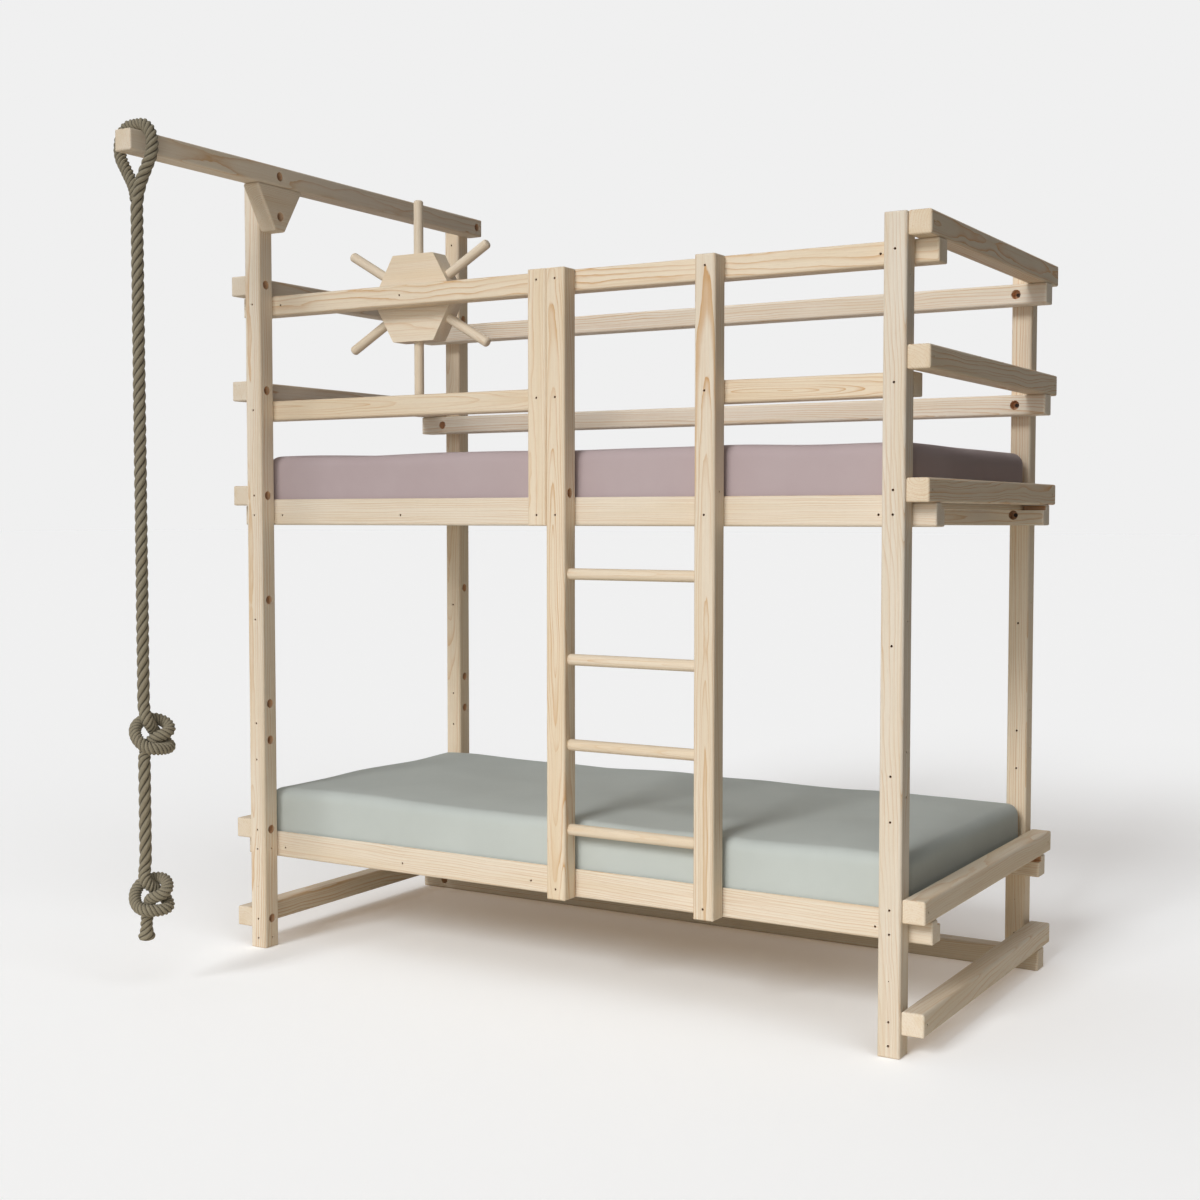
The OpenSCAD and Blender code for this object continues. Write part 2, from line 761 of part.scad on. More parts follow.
// Evenly spaced points down a straight stretch, without its ends
function straight(from, to, steps) = [for (i = [1:steps - 1]) [0, 0, from + (to - from) * i / steps]];

module rope() {
    ball = [for (a = [75:-25:0]) [rope_r * cos(a), z_pivot + rope_r * sin(a)]];
    flare = [
        [rope_r, rope_end + 28], [(rope_r + flare_d / 2) / 2, rope_end + 20], [flare_d / 2, rope_end + 12],
        [flare_d / 2 - 1, rope_end + 7], [flare_d / 2 - 6, rope_end + 2], [flare_d / 2 - 10, rope_end]
    ];
    middle = concat(
        straight(z_pivot, knot_high + knot_top, 18),
        knot_path(knot_high, knot_turn_high),
        straight(knot_high - knot_foot, knot_low + knot_top, 4),
        knot_path(knot_low, knot_turn_low)
    );
    color(rope_olive) translate([x_rope, y_rope, 0]) tube(
        concat([for (b = ball) [0, 0, b[1]]], middle, [for (f = flare) [0, 0, f[1]]]),
        concat([for (b = ball) b[0]], [for (p = middle) rope_r], [for (f = flare) f[0]])
    );
}

post_front_left();
post_back_left();
post_front_right();
post_back_right();
hoist_beam();
hoist_bracket();
front_rail_top();
front_rail_mid_left();
front_rail_mid_right();
front_rail_upper_bed();
front_rail_lower_bed();
back_rail_top();
back_rail_mid();
back_rail_upper_bed();
back_rail_lower_bed();
back_rail_floor();
end_rail(x_end_left, z_top);  // left_rail_top
end_rail(x_end_left, z_mid);  // left_rail_mid
end_rail(x_end_left, z_up);  // left_rail_upper_bed
end_rail(x_end_left, z_low);  // left_rail_lower_bed
end_rail(x_end_left, z_floor);  // left_rail_floor
end_rail(x_end_right, z_top);  // right_rail_top
end_rail(x_end_right, z_mid);  // right_rail_mid
end_rail(x_end_right, z_up);  // right_rail_upper_bed
end_rail(x_end_right, z_low);  // right_rail_lower_bed
end_rail(x_end_right, z_floor);  // right_rail_floor
guard_post();
ladder_stile_left();
ladder_stile_right();
ladder_rung(0);  // ladder_rung_1
ladder_rung(1);  // ladder_rung_2
ladder_rung(2);  // ladder_rung_3
ladder_rung(3);  // ladder_rung_4
slats(z_up);  // slats_upper
slats(z_low);  // slats_lower
slat_screws(z_up);  // slat_screws_upper
slat_screws(z_low);  // slat_screws_lower
mattress(z_up, "#a08c8e");  // mattress_upper
mattress(z_low, "#aab3a8");  // mattress_lower
wheel_hub();
wheel_handle(0);  // wheel_handle_1
wheel_handle(1);  // wheel_handle_2
wheel_handle(2);  // wheel_handle_3
wheel_handle(3);  // wheel_handle_4
wheel_handle(4);  // wheel_handle_5
wheel_handle(5);  // wheel_handle_6
wheel_bolt();
wheel_spacer();
wheel_washer();
bolts_front();
bolts_back();
bolts_left_end();
bolts_right_end();
bolts_hoist();
rope_eye();
rope();
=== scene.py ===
"""Looks of the bunk bed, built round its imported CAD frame.

Metres, with +X to the bed's right end and +Y to its back.
"""

import math
import random

import bpy
import numpy as np
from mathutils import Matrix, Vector


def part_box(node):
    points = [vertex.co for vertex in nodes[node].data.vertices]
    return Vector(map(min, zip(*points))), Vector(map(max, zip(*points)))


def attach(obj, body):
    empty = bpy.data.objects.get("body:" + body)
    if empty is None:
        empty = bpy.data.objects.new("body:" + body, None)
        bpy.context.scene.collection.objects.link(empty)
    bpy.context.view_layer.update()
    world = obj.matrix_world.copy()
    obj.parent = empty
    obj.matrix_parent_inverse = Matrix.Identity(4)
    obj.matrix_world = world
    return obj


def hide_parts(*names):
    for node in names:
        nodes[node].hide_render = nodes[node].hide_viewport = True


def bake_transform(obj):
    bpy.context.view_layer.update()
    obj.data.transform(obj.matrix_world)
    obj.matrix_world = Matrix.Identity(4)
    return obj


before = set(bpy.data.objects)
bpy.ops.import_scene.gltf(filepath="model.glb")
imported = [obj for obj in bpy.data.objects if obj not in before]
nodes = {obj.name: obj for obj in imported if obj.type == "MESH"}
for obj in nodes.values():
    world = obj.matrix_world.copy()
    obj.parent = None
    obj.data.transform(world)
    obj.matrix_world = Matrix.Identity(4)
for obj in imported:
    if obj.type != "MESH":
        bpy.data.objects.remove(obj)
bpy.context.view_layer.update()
scene = bpy.context.scene

# ---------------------------------------------------------------- camera

# The photograph's viewpoint, solved from the edges of the bars. Lens and sensor in mm, angles in degrees.
LENS, SENSOR = 49.96, 36
CAMERA_PLACE = (3.3541, -3.6702, 1.2660)
LOOKS_DOWN, TURNED_LEFT = 2.85, 30.93
CAMERA_REACH = 300


def make_camera():
    data = bpy.data.cameras.new("camera")
    data.lens = LENS
    data.sensor_width = SENSOR
    data.clip_end = CAMERA_REACH
    camera = bpy.data.objects.new("camera", data)
    camera.location = CAMERA_PLACE
    camera.rotation_euler = (math.radians(90 - LOOKS_DOWN), 0, math.radians(TURNED_LEFT))
    scene.collection.objects.link(camera)
    scene.camera = camera


make_camera()

# ---------------------------------------------------------------- node helpers

# A Mix node keeps its colour sockets behind those for numbers and vectors
MIX_A, MIX_B, MIX_RESULT = 6, 7, 2


def srgb(r, g, b):
    """A colour read off a screen, 0 to 255, as the linear values that a shader takes."""
    c = [x / 255 for x in (r, g, b)]
    return tuple(x / 12.92 if x <= 0.04045 else ((x + 0.055) / 1.055) ** 2.4 for x in c) + (1,)


class Tree:
    """Short names for making and joining nodes."""

    def __init__(self, tree):
        self.tree = tree

    def node(self, kind, **settings):
        made = self.tree.nodes.new(kind)
        for key, value in settings.items():
            setattr(made, key, value)
        return made

    def put(self, value, socket):
        """Joins a socket to a socket, or sets a plain value on it."""
        if isinstance(value, bpy.types.NodeSocket):
            self.tree.links.new(value, socket)
        elif value is not None:
            socket.default_value = value

    def math(self, operation, a, b=None, clamp=False):
        made = self.node("ShaderNodeMath", operation=operation, use_clamp=clamp)
        for value, socket in zip((a, b), made.inputs):
            self.put(value, socket)
        return made.outputs[0]

    def vector(self, operation, a, b=None):
        made = self.node("ShaderNodeVectorMath", operation=operation)
        self.put(a, made.inputs[0])
        self.put(b, made.inputs[1])
        return made.outputs["Value" if operation in ("DOT_PRODUCT", "LENGTH") else "Vector"]

    def scaled(self, a, factor):
        made = self.node("ShaderNodeVectorMath", operation="SCALE")
        self.put(a, made.inputs[0])
        self.put(factor, made.inputs["Scale"])
        return made.outputs["Vector"]

    def joined(self, x, y, z):
        made = self.node("ShaderNodeCombineXYZ")
        for value, socket in zip((x, y, z), made.inputs):
            self.put(value, socket)
        return made.outputs[0]

    def split(self, vector):
        made = self.node("ShaderNodeSeparateXYZ")
        self.put(vector, made.inputs[0])
        return made.outputs

    def ranged(self, value, low, high, to_low=0.0, to_high=1.0, smooth=False):
        made = self.node("ShaderNodeMapRange", clamp=True)
        if smooth:
            made.interpolation_type = "SMOOTHSTEP"
        for v, name in (
            (value, "Value"), (low, "From Min"), (high, "From Max"), (to_low, "To Min"), (to_high, "To Max"),
        ):
            self.put(v, made.inputs[name])
        return made.outputs["Result"]

    def noise(self, vector, scale=1.0, detail=2.0, roughness=0.5, colour=False):
        made = self.node("ShaderNodeTexNoise")
        self.put(vector, made.inputs["Vector"])
        self.put(scale, made.inputs["Scale"])
        self.put(detail, made.inputs["Detail"])
        self.put(roughness, made.inputs["Roughness"])
        return made.outputs["Color" if colour else "Fac"]

    def mix(self, factor, a, b, blend="MIX"):
        made = self.node("ShaderNodeMix", data_type="RGBA", blend_type=blend, clamp_factor=True)
        self.put(factor, made.inputs["Factor"])
        self.put(a, made.inputs[MIX_A])
        self.put(b, made.inputs[MIX_B])
        return made.outputs[MIX_RESULT]

    def tinted(self, colour, tint):
        return self.mix(1.0, colour, tint, "MULTIPLY")

    def object_place(self):
        """The point on the surface in the object's own coordinates."""
        return self.node("ShaderNodeTexCoord").outputs["Object"]

    def bump(self, height, distance, strength=1.0, normal=None):
        made = self.node("ShaderNodeBump")
        self.put(strength, made.inputs["Strength"])
        self.put(distance, made.inputs["Distance"])
        self.put(height, made.inputs["Height"])
        self.put(normal, made.inputs["Normal"])
        return made.outputs["Normal"]


def new_material(name):
    """A material, its tree and its Principled shader."""
    material = bpy.data.materials.new(name)
    material.use_nodes = True
    tree = Tree(material.node_tree)
    return material, tree, material.node_tree.nodes["Principled BSDF"]


def new_group(name, inputs, outputs):
    """A node group, its tree, what it is given and what it puts out."""
    group = bpy.data.node_groups.new(name, "ShaderNodeTree")
    for label, kind in inputs:
        group.interface.new_socket(label, in_out="INPUT", socket_type="NodeSocket" + kind)
    for label, kind in outputs:
        group.interface.new_socket(label, in_out="OUTPUT", socket_type="NodeSocket" + kind)
    tree = Tree(group)
    return group, tree, tree.node("NodeGroupInput").outputs, tree.node("NodeGroupOutput").inputs


def dress(obj, material):
    obj.data.materials.clear()
    obj.data.materials.append(material)


def add_mesh(name, points, faces, soft=True):
    """An object of that name, with soft or flat shading."""
    mesh = bpy.data.meshes.new(name)
    mesh.from_pydata(points, [], faces)
    mesh.polygons.foreach_set("use_smooth", [soft] * len(mesh.polygons))
    obj = bpy.data.objects.new(name, mesh)
    scene.collection.objects.link(obj)
    return obj


# ---------------------------------------------------------------- pine

X, Y, Z = (1, 0, 0), (0, 1, 0), (0, 0, 1)
# A year's early and late wood, the wood near the heart and the streaks of resin
EARLY = srgb(223, 208, 185)
LATE = srgb(192, 143, 84)
HEART = srgb(213, 192, 160)
RESIN = srgb(178, 144, 104)
# Tints: of a pale bar; painted shade on a wide hole's wall; darker painted shade on a small hole's wall or a wide
# hole's bottom; and lighter painted shade on the bottom of a wide hole that the lamps reach
PALER = (1.0, 1.07, 1.20, 1)
BORE_WALL_SHADE = (0.95, 0.72, 0.55, 1)
DEEP_BORE_SHADE = (0.26, 0.13, 0.06, 1)
HALF_LIT_BORE_SHADE = (0.86, 0.62, 0.46, 1)
# Late wood within a ring that runs from 0 to 1: it grows darker up to LATE_TO and breaks off at LATE_END
LATE_FROM, LATE_TO, LATE_END = 0.42, 0.94, 0.95
LATE_POWER = 2.4
# How far the rings ripple, and the depth of the grain
RIPPLE = 0.0030
GRAIN_DEPTH = 0.00035
# Half the side of the squared bars. A surface that lies so deep inside a bar's outline is the wall of a hole, and
# gets painted shade.
BAR_HALF = 0.0285
HOLE_FROM, HOLE_TO = 0.0022, 0.0036
# The bracket's counterbore: its height, and the radii between which its painted shade ends
BRACKET_BORE_Z = 2.1265
BORE_IN, BORE_OUT = 0.0128, 0.0134
SLAT_WIDTH, SLAT_COUNT = 0.09, 14
# The bars whose colour or figure stands out in the photograph
SPECIAL = {
    "post_front_left": {"tone": 1.07, "pale": 0.6},
    "post_front_right": {"tone": 0.96, "pale": 0.8},
    "front_rail_upper_bed": {"tone": 1.01, "pale": 0.6, "pith": (0, 0.012, 0.110), "contrast": 0.6},
    "front_rail_lower_bed": {"tone": 1.01, "pale": 0.6, "pith": (0, 0.020, 0.120), "contrast": 0.7},
    "front_rail_top": {"tone": 1.03, "pale": 0.15},
    # The back bars' raised tone is painted light: it brightens them where the parts in front shade them from the
    # key
    "back_rail_top": {"tone": 1.16, "pale": 0.9},
    "back_rail_mid": {"tone": 1.16, "pale": 0.9},
    "post_back_left": {"tone": 1.16, "pale": 0.1},
    "post_back_right": {"tone": 1.17, "pale": 0.3},
    "guard_post": {"tone": 1.03, "pale": 0.15},
    "hoist_beam": {"tone": 1.03, "pale": 0.5},
    "ladder_stile_left": {"tone": 1.01, "pale": 0.1, "contrast": 1.0, "spacing": 0.0066, "wander": 0.026,
                          "pith": (0, 0.004, 0.030), "lean": (0, 0.006, 0.045)},
    "ladder_stile_right": {"tone": 0.96, "pale": 0.4, "contrast": 0.9, "spacing": 0.007, "wander": 0.022,
                           "pith": (0, -0.004, 0.046), "lean": (0, 0.004, 0.030)},
    "front_rail_mid_right": {"pale": 0.0, "contrast": 0.9, "spacing": 0.006, "wander": 0.022,
                             "pith": (0, 0.036, 0.004), "lean": (0, 0.05, 0.01)},
    "front_rail_mid_left": {"pale": 0.1, "contrast": 0.9, "spacing": 0.006, "wander": 0.022,
                            "pith": (0, 0.046, -0.006), "lean": (0, 0.03, 0.01)},
    "right_rail_upper_bed": {"tone": 0.97, "pale": 0.0, "contrast": 1.6, "spacing": 0.0065, "wander": 0.034},
    "right_rail_top": {"tone": 0.97, "pale": 0.0, "contrast": 1.6, "spacing": 0.0065, "wander": 0.036},
    "right_rail_mid": {"tone": 0.97, "pale": 0.0, "contrast": 1.6, "spacing": 0.0065, "wander": 0.034},
}
# The bars, by the direction of their grain
BARS = {
    "z": ["post_front_left", "post_back_left", "post_front_right", "post_back_right", "guard_post",
          "ladder_stile_left", "ladder_stile_right"],
    "x": ["front_rail_top", "front_rail_mid_left", "front_rail_mid_right", "front_rail_upper_bed",
          "front_rail_lower_bed", "back_rail_top", "back_rail_mid", "back_rail_upper_bed",
          "back_rail_lower_bed", "back_rail_floor"],
    "y": ["left_rail_top", "left_rail_mid", "left_rail_upper_bed", "left_rail_lower_bed", "left_rail_floor",
          "right_rail_top", "right_rail_mid", "right_rail_upper_bed", "right_rail_lower_bed",
          "right_rail_floor", "hoist_beam"],
}


def make_pine_group():
    """Growth rings as a solid. u runs along the grain, v and w across it, in metres from the bar's middle."""
    group, t, given, out = new_group(
        "pine_solid",
        [("Place", "Vector"), ("Seed", "Vector"), ("Pith", "Vector"), ("Lean", "Vector"),
         ("Spacing", "Float"), ("Contrast", "Float"), ("Tone", "Float"), ("Wander", "Float"), ("Pale", "Float")],
        [("Color", "Color"), ("Height", "Float"), ("Roughness", "Float")],
    )
    place, seed = given["Place"], given["Seed"]
    u, v, w = t.split(place)

    def stretched(along, over):
        """A place for a noise, drawn out along the grain."""
        return t.vector("ADD", t.joined(t.math("MULTIPLY", u, along), t.math("MULTIPLY", v, over),
                                        t.math("MULTIPLY", w, over)), seed)

    # The trunk leans in the bar, and its rings wander, which opens the arches of a tangential face
    level = (0.5, 0.5, 0.5)
    slow = stretched(2.6, 9.0)
    drift = t.vector("SUBTRACT", t.noise(slow, 1.0, 2.0, 0.5, colour=True), level)
    ripple = t.vector("SUBTRACT", t.noise(stretched(16.0, 55.0), 1.0, 2.0, 0.55, colour=True), level)
    across = t.vector("ADD", t.joined(0.0, v, w), given["Pith"])
    across = t.vector("ADD", across, t.vector("MULTIPLY", given["Lean"], t.joined(u, u, u)))
    across = t.vector("ADD", across, t.scaled(drift, given["Wander"]))
    across = t.vector("ADD", across, t.scaled(ripple, RIPPLE))
    across = t.vector("MULTIPLY", across, (0.0, 1.0, 1.0))
    radius = t.vector("LENGTH", across)
    # Years of unequal growth
    years = t.noise(t.vector("ADD", t.joined(t.math("MULTIPLY", radius, 70.0), 0.0, 0.0), seed), 1.0, 1.0)
    phase = t.math("ADD", t.math("DIVIDE", radius, given["Spacing"]), t.math("MULTIPLY", years, 2.2))
    ring = t.math("FRACT", phase)
    late = t.math("MULTIPLY", t.ranged(ring, LATE_FROM, LATE_TO), t.ranged(ring, LATE_END, 1.0, 1.0, 0.0))
    late = t.math("POWER", late, LATE_POWER)
    strength = t.ranged(t.noise(slow, 1.7, 1.0), 0.30, 0.66, 0.35, 1.0)
    late = t.math("MULTIPLY", t.math("MULTIPLY", late, strength), given["Contrast"], clamp=True)
    # Fibres, resin streaks and a soft change of tone along the bar
    fibre = t.noise(stretched(16.0, 900.0), 1.0, 3.0, 0.62)
    grit = t.noise(stretched(160.0, 1500.0), 1.0, 1.0)
    resin = t.ranged(t.noise(stretched(45.0, 1700.0), 1.0, 0.0), 0.68, 0.80)
    cloud = t.noise(stretched(1.3, 24.0), 1.0, 2.0, 0.55)
    streak = t.noise(stretched(2.4, 260.0), 1.0, 2.0, 0.6)
    colour = t.mix(late, EARLY, LATE)
    colour = t.mix(t.ranged(streak, 0.52, 0.78, 0.0, 0.34), colour, LATE)
    colour = t.mix(t.ranged(cloud, 0.42, 0.72, 0.0, 0.5, smooth=True), colour, HEART)
    colour = t.mix(t.math("MULTIPLY", resin, 0.20), colour, RESIN)
    fine = t.math("ADD", t.math("MULTIPLY", fibre, 0.19), t.math("MULTIPLY", grit, 0.09))
    light = t.math("MULTIPLY", t.math("ADD", 0.88, fine), given["Tone"])
    colour = t.tinted(colour, t.joined(light, light, light))
    colour = t.mix(given["Pale"], colour, t.tinted(colour, PALER))
    t.put(colour, out["Color"])
    t.put(t.math("ADD", t.math("MULTIPLY", late, 0.5), t.math("MULTIPLY", fibre, 0.6)), out["Height"])
    rough = t.math("ADD", 0.54, t.math("MULTIPLY", fibre, 0.18))
    t.put(t.math("SUBTRACT", rough, t.math("MULTIPLY", late, 0.08)), out["Roughness"])
    return group


PINE = make_pine_group()


def perpendicular(axis):
    """Two directions across a grain along X, Y or Z, or along any direction in the plane of X and Z."""
    if axis == X:
        return Y, Z
    if axis == Y:
        return Z, X
    if axis == Z:
        return X, Y
    return (axis[2], 0, -axis[0]), Y


def pine(name, centre, axis, seed, half_length=None, spacing=0.0042, contrast=0.8, tone=1.0, wander=0.016,
         pale=0.3, pith=None, lean=None, slats=None, bore=None, small_bores=X, deep=DEEP_BORE_SHADE):
    """Pine with its grain along axis.

    half_length is given for a squared bar, whose surface deep inside its outline is the wall of a hole and gets
    painted shade. Where such a wall faces small_bores, it is that of a small hole or the bottom of a wide one, and
    deep is the tint of its darker painted shade. slats gives the first slat's place in a row along X and the pitch.
    bore is a point on the axis of a wide hole along X, whose wall gets painted shade.
    """
    rnd = random.Random(seed)
    material, t, shader = new_material("pine_" + name)
    side_a, side_b = perpendicular(axis)
    place = t.vector("SUBTRACT", t.object_place(), tuple(centre))
    u = t.vector("DOT_PRODUCT", place, axis)
    v = t.vector("DOT_PRODUCT", place, side_a)
    w = t.vector("DOT_PRODUCT", place, side_b)
    offset = tuple(rnd.uniform(0, 60) for _ in range(3))
    if slats:
        first, pitch = slats
        along_row = t.vector("DOT_PRODUCT", t.object_place(), X)
        along_row = t.math("SUBTRACT", along_row, first)
        index = t.math("ROUND", t.math("DIVIDE", along_row, pitch))
        w = t.math("SUBTRACT", along_row, t.math("MULTIPLY", index, pitch))
        # Each slat comes from its own place in the log
        apart = t.joined(*[t.math("MULTIPLY", index, step) for step in (7.3, 3.1, 5.9)])
        offset = t.vector("ADD", apart, offset)
    if pith is None:
        turn, far = rnd.uniform(0, 2 * math.pi), rnd.uniform(0.030, 0.075)
        pith = (0, far * math.cos(turn), far * math.sin(turn))
    if lean is None:
        lean = (0, rnd.uniform(-0.03, 0.03), rnd.uniform(-0.03, 0.03))
    group = t.node("ShaderNodeGroup", node_tree=PINE)
    normal = t.node("ShaderNodeTexCoord").outputs["Normal"]
    if half_length:
        # A sawn end shows less figure than a side
        sawn = t.ranged(t.math("ABSOLUTE", t.vector("DOT_PRODUCT", normal, axis)), 0.5, 0.95, 1.0, 0.4)
        contrast = t.math("MULTIPLY", sawn, contrast)
    for key, value in {
        "Place": t.joined(u, v, w), "Seed": offset, "Pith": pith, "Lean": lean, "Spacing": spacing,
        "Contrast": contrast, "Tone": tone, "Wander": wander, "Pale": pale,
    }.items():
        t.put(value, group.inputs[key])
    colour = group.outputs["Color"]
    if half_length:
        # Painted shade on the walls of holes, darker where they face small_bores
        skin = t.math("SUBTRACT", BAR_HALF, t.math("MAXIMUM", t.math("ABSOLUTE", v), t.math("ABSOLUTE", w)))
        end = t.math("SUBTRACT", half_length, t.math("ABSOLUTE", u))
        inside = t.ranged(t.math("MINIMUM", skin, end), HOLE_FROM, HOLE_TO)
        facing = t.vector("DOT_PRODUCT", normal, small_bores)
        small = t.ranged(t.math("ABSOLUTE", facing), 0.35, 0.75)
        colour = t.mix(inside, colour, t.tinted(colour, t.mix(small, BORE_WALL_SHADE, deep)))
    if bore:
        # Painted shade on the wall of the bracket's counterbore
        from_bore = t.vector("SUBTRACT", t.object_place(), bore)
        far = t.vector("LENGTH", t.vector("MULTIPLY", from_bore, (0, 1, 1)))
        colour = t.mix(t.ranged(far, BORE_IN, BORE_OUT, 1.0, 0.0), colour, t.tinted(colour, BORE_WALL_SHADE))
    t.put(colour, shader.inputs["Base Color"])
    t.put(group.outputs["Roughness"], shader.inputs["Roughness"])
    t.put(t.bump(group.outputs["Height"], GRAIN_DEPTH, 0.6), shader.inputs["Normal"])
    shader.inputs["Specular IOR Level"].default_value = 0.22
    return material


def middle(name):
    """The middle of a node's box and its half sizes."""
    low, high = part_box(name)
    return (low + high) / 2, (high - low) / 2


def dress_bars():
    """Each bar is sawn from its own place in a log."""
    along = {"x": X, "y": Y, "z": Z}
    seed = 11
    for key, names in BARS.items():
        for name in names:
            seed += 7
            rnd = random.Random(seed * 13)
            centre, size = middle(name)
            if key == "x":
                # A bed rail's raised edge stands above the bar
                centre.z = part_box(name)[0].z + BAR_HALF
            settings = {
                "small_bores": Y if name.split("_")[0] in ("left", "right", "back") else X,
                # The back rails' counterbore bottoms get a lighter painted shade, where the lamps reach them
                "deep": HALF_LIT_BORE_SHADE if name.startswith("back_rail") else DEEP_BORE_SHADE,
                "spacing": rnd.uniform(0.0050, 0.0078), "contrast": rnd.uniform(0.6, 1.0),
                "tone": rnd.uniform(0.965, 1.02), "wander": rnd.uniform(0.014, 0.030),
                "pale": rnd.uniform(0.3, 0.7),
            }
            settings.update(SPECIAL.get(name, {}))
            half_length = size["xyz".index(key)]
            dress(nodes[name], pine(name, centre, along[key], seed, half_length=half_length, **settings))


def dress_small_timber():
    """Rungs, bracket, steering wheel and slats."""
    for i in range(1, 5):
        name = f"ladder_rung_{i}"
        centre, _ = middle(name)
        dress(nodes[name], pine(name, centre, X, 300 + i, spacing=0.0032, contrast=0.4, wander=0.006))
    centre, _ = middle("hoist_bracket")
    dress(nodes["hoist_bracket"], pine("hoist_bracket", centre, Y, 41, spacing=0.004, contrast=0.6,
                                       bore=(centre.x, centre.y, BRACKET_BORE_Z)))
    hub, _ = middle("wheel_hub")
    dress(nodes["wheel_hub"], pine("wheel_hub", hub, X, 52, spacing=0.0036, contrast=0.45, tone=1.05,
                                   wander=0.02, pith=(0, -0.17, 0.12)))
    for i in range(1, 7):
        name = f"wheel_handle_{i}"
        centre, _ = middle(name)
        d = (centre - hub).normalized()
        dress(nodes[name], pine(name, centre, (d.x, 0, d.z), 400 + i, spacing=0.003, contrast=0.35, wander=0.005))
    for name in ("slats_upper", "slats_lower"):
        low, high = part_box(name)
        first = low.x + SLAT_WIDTH / 2
        pitch = (high.x - low.x - SLAT_WIDTH) / (SLAT_COUNT - 1)
        dress(nodes[name], pine(name, (low + high) / 2, Y, 77, spacing=0.0045, contrast=0.8, tone=0.97,
                                slats=(first, pitch)))


# ---------------------------------------------------------------- metal and plastic


def make_metal(name, colour, metallic, roughness, scale, depth):
    """Metal or plastic with a fine grain of that scale and depth."""
    material, t, shader = new_material(name)
    place = t.object_place()
    grain = t.noise(place, scale, 3.0, 0.6)
    patch = t.noise(place, scale * 0.12, 2.0, 0.5)
    dark = tuple(c * 0.72 for c in colour[:3]) + (1,)
    t.put(t.mix(t.ranged(patch, 0.35, 0.65), dark, colour), shader.inputs["Base Color"])
    uneven = t.math("MULTIPLY", t.math("SUBTRACT", grain, 0.5), 0.22)
    t.put(t.math("ADD", roughness, uneven), shader.inputs["Roughness"])
    t.put(t.bump(grain, depth, 0.5), shader.inputs["Normal"])
    shader.inputs["Metallic"].default_value = metallic
    return material


def dress_metal():
    dark = make_metal("dark_steel", srgb(66, 50, 36), 0.25, 0.6, 1800, 0.00005)
    zinc = make_metal("zinc_steel", srgb(196, 196, 192), 1.0, 0.34, 2600, 0.00003)
    plastic = make_metal("dark_plastic", srgb(52, 52, 52), 0.0, 0.5, 2200, 0.00004)
    for name in ("bolts_front", "bolts_back", "bolts_left_end", "bolts_right_end", "bolts_hoist", "wheel_bolt"):
        dress(nodes[name], dark)
    for name in ("slat_screws_upper", "slat_screws_lower", "wheel_washer"):
        dress(nodes[name], zinc)
    dress(nodes["wheel_spacer"], plastic)


# ---------------------------------------------------------------- rope

# The knots and the hanging line are the CAD's. So is the eye but for the foot of its legs: one runs on into the
# hanging rope, and the other is tucked in beside it. The strands are the scene's.
ROPE_D = 0.033
STEP = 0.0025
SIDES = 56
STRANDS = 4
# Round strands: the distance of their middles from the rope's, and their radius, as shares of its diameter
STRAND_OUT, STRAND_R = 0.243, 0.257
# The cut end: the radius that its strands run together to, again as a share, and the widest radius in metres
MERGED, WIDEST = 0.49, 0.0229
# Where it hangs, and the heights of the beam's middle, the line it swings about and its cut end
ROPE_X, ROPE_Y = 0.057, -0.5215
BEAM_Z = 2.2405
ROPE_END = 0.139
# Length of rope, from its tucked end, that has the eye's lay
EYE_LENGTH = 0.46
# Height of each knot and its turn about the rope in degrees
KNOTS = ((0.695, 46), (0.269, 9))
# How far a knot reaches down and up, and the length over which the lay shortens towards it
KNOT_DOWN, KNOT_UP, KNOT_BLEND = 0.062, 0.045, 0.03
# Length of one turn of a strand in a knot and in the tail below the knots
KNOT_LAY, TAIL_LAY = 0.041, 0.062
# The yarns within a strand turn more slowly than the strands
YARN_TURN, YARN_R = 0.45, 0.0165
# An overhand knot's centre line from top to bottom, in knot units: to the right, up, and towards the front
KNOT_UNIT = 0.033
KNOT = [
    (0, 3, 0), (0, 2.3, 0.05), (0.1, 1.65, 0.3), (0.25, 1.1, 0.45), (0.5, 0.6, 0.2),
    (0.75, 0.15, -0.3), (1.05, -0.3, -0.65), (1.5, -0.7, -0.7), (1.9, -1.05, -0.35),
    (1.95, -1.2, 0.2), (1.55, -1.25, 0.75), (0.8, -1.2, 1.2), (0.1, -1, 1.15),
    (-0.45, -0.5, 0.85), (-0.7, 0.1, 0.35), (-0.55, 0.6, -0.15), (-0.1, 0.9, -0.55),
    (0.5, 1, -0.85), (1.15, 0.95, -0.8), (1.7, 0.7, -0.5), (2, 0.3, 0), (1.8, 0, 0.4),
    (1.3, -0.2, 0.6), (0.8, -0.45, 0.5), (0.4, -0.85, 0.1), (0.15, -1.4, -0.15),
    (0, -2.05, -0.1), (0, -2.6, 0),
]
# The eye's centre line in mm from the beam's middle: to the right and up, from where it is tucked into the rope,
# up its left leg, over the beam and down its right leg
EYE = [
    (-2.5, -150), (-4, -133), (-8, -117), (-14.5, -103), (-23, -89), (-33, -73), (-42.5, -57), (-52, -42),
    (-58, -24), (-59, -5), (-55, 15), (-47, 30.5), (-38.3, 38.3), (-30.6, 43.6), (-21, 45.6), (0, 45.8),
    (21, 45.6), (30.6, 43.6), (38.3, 38.3), (47, 30.5), (55, 15), (59, -5), (57.5, -24), (51.5, -42),
    (42, -57), (32.5, -73), (23, -89), (15.5, -103), (10, -116), (6, -129), (2.8, -142), (0.8, -154), (0, -168),
]


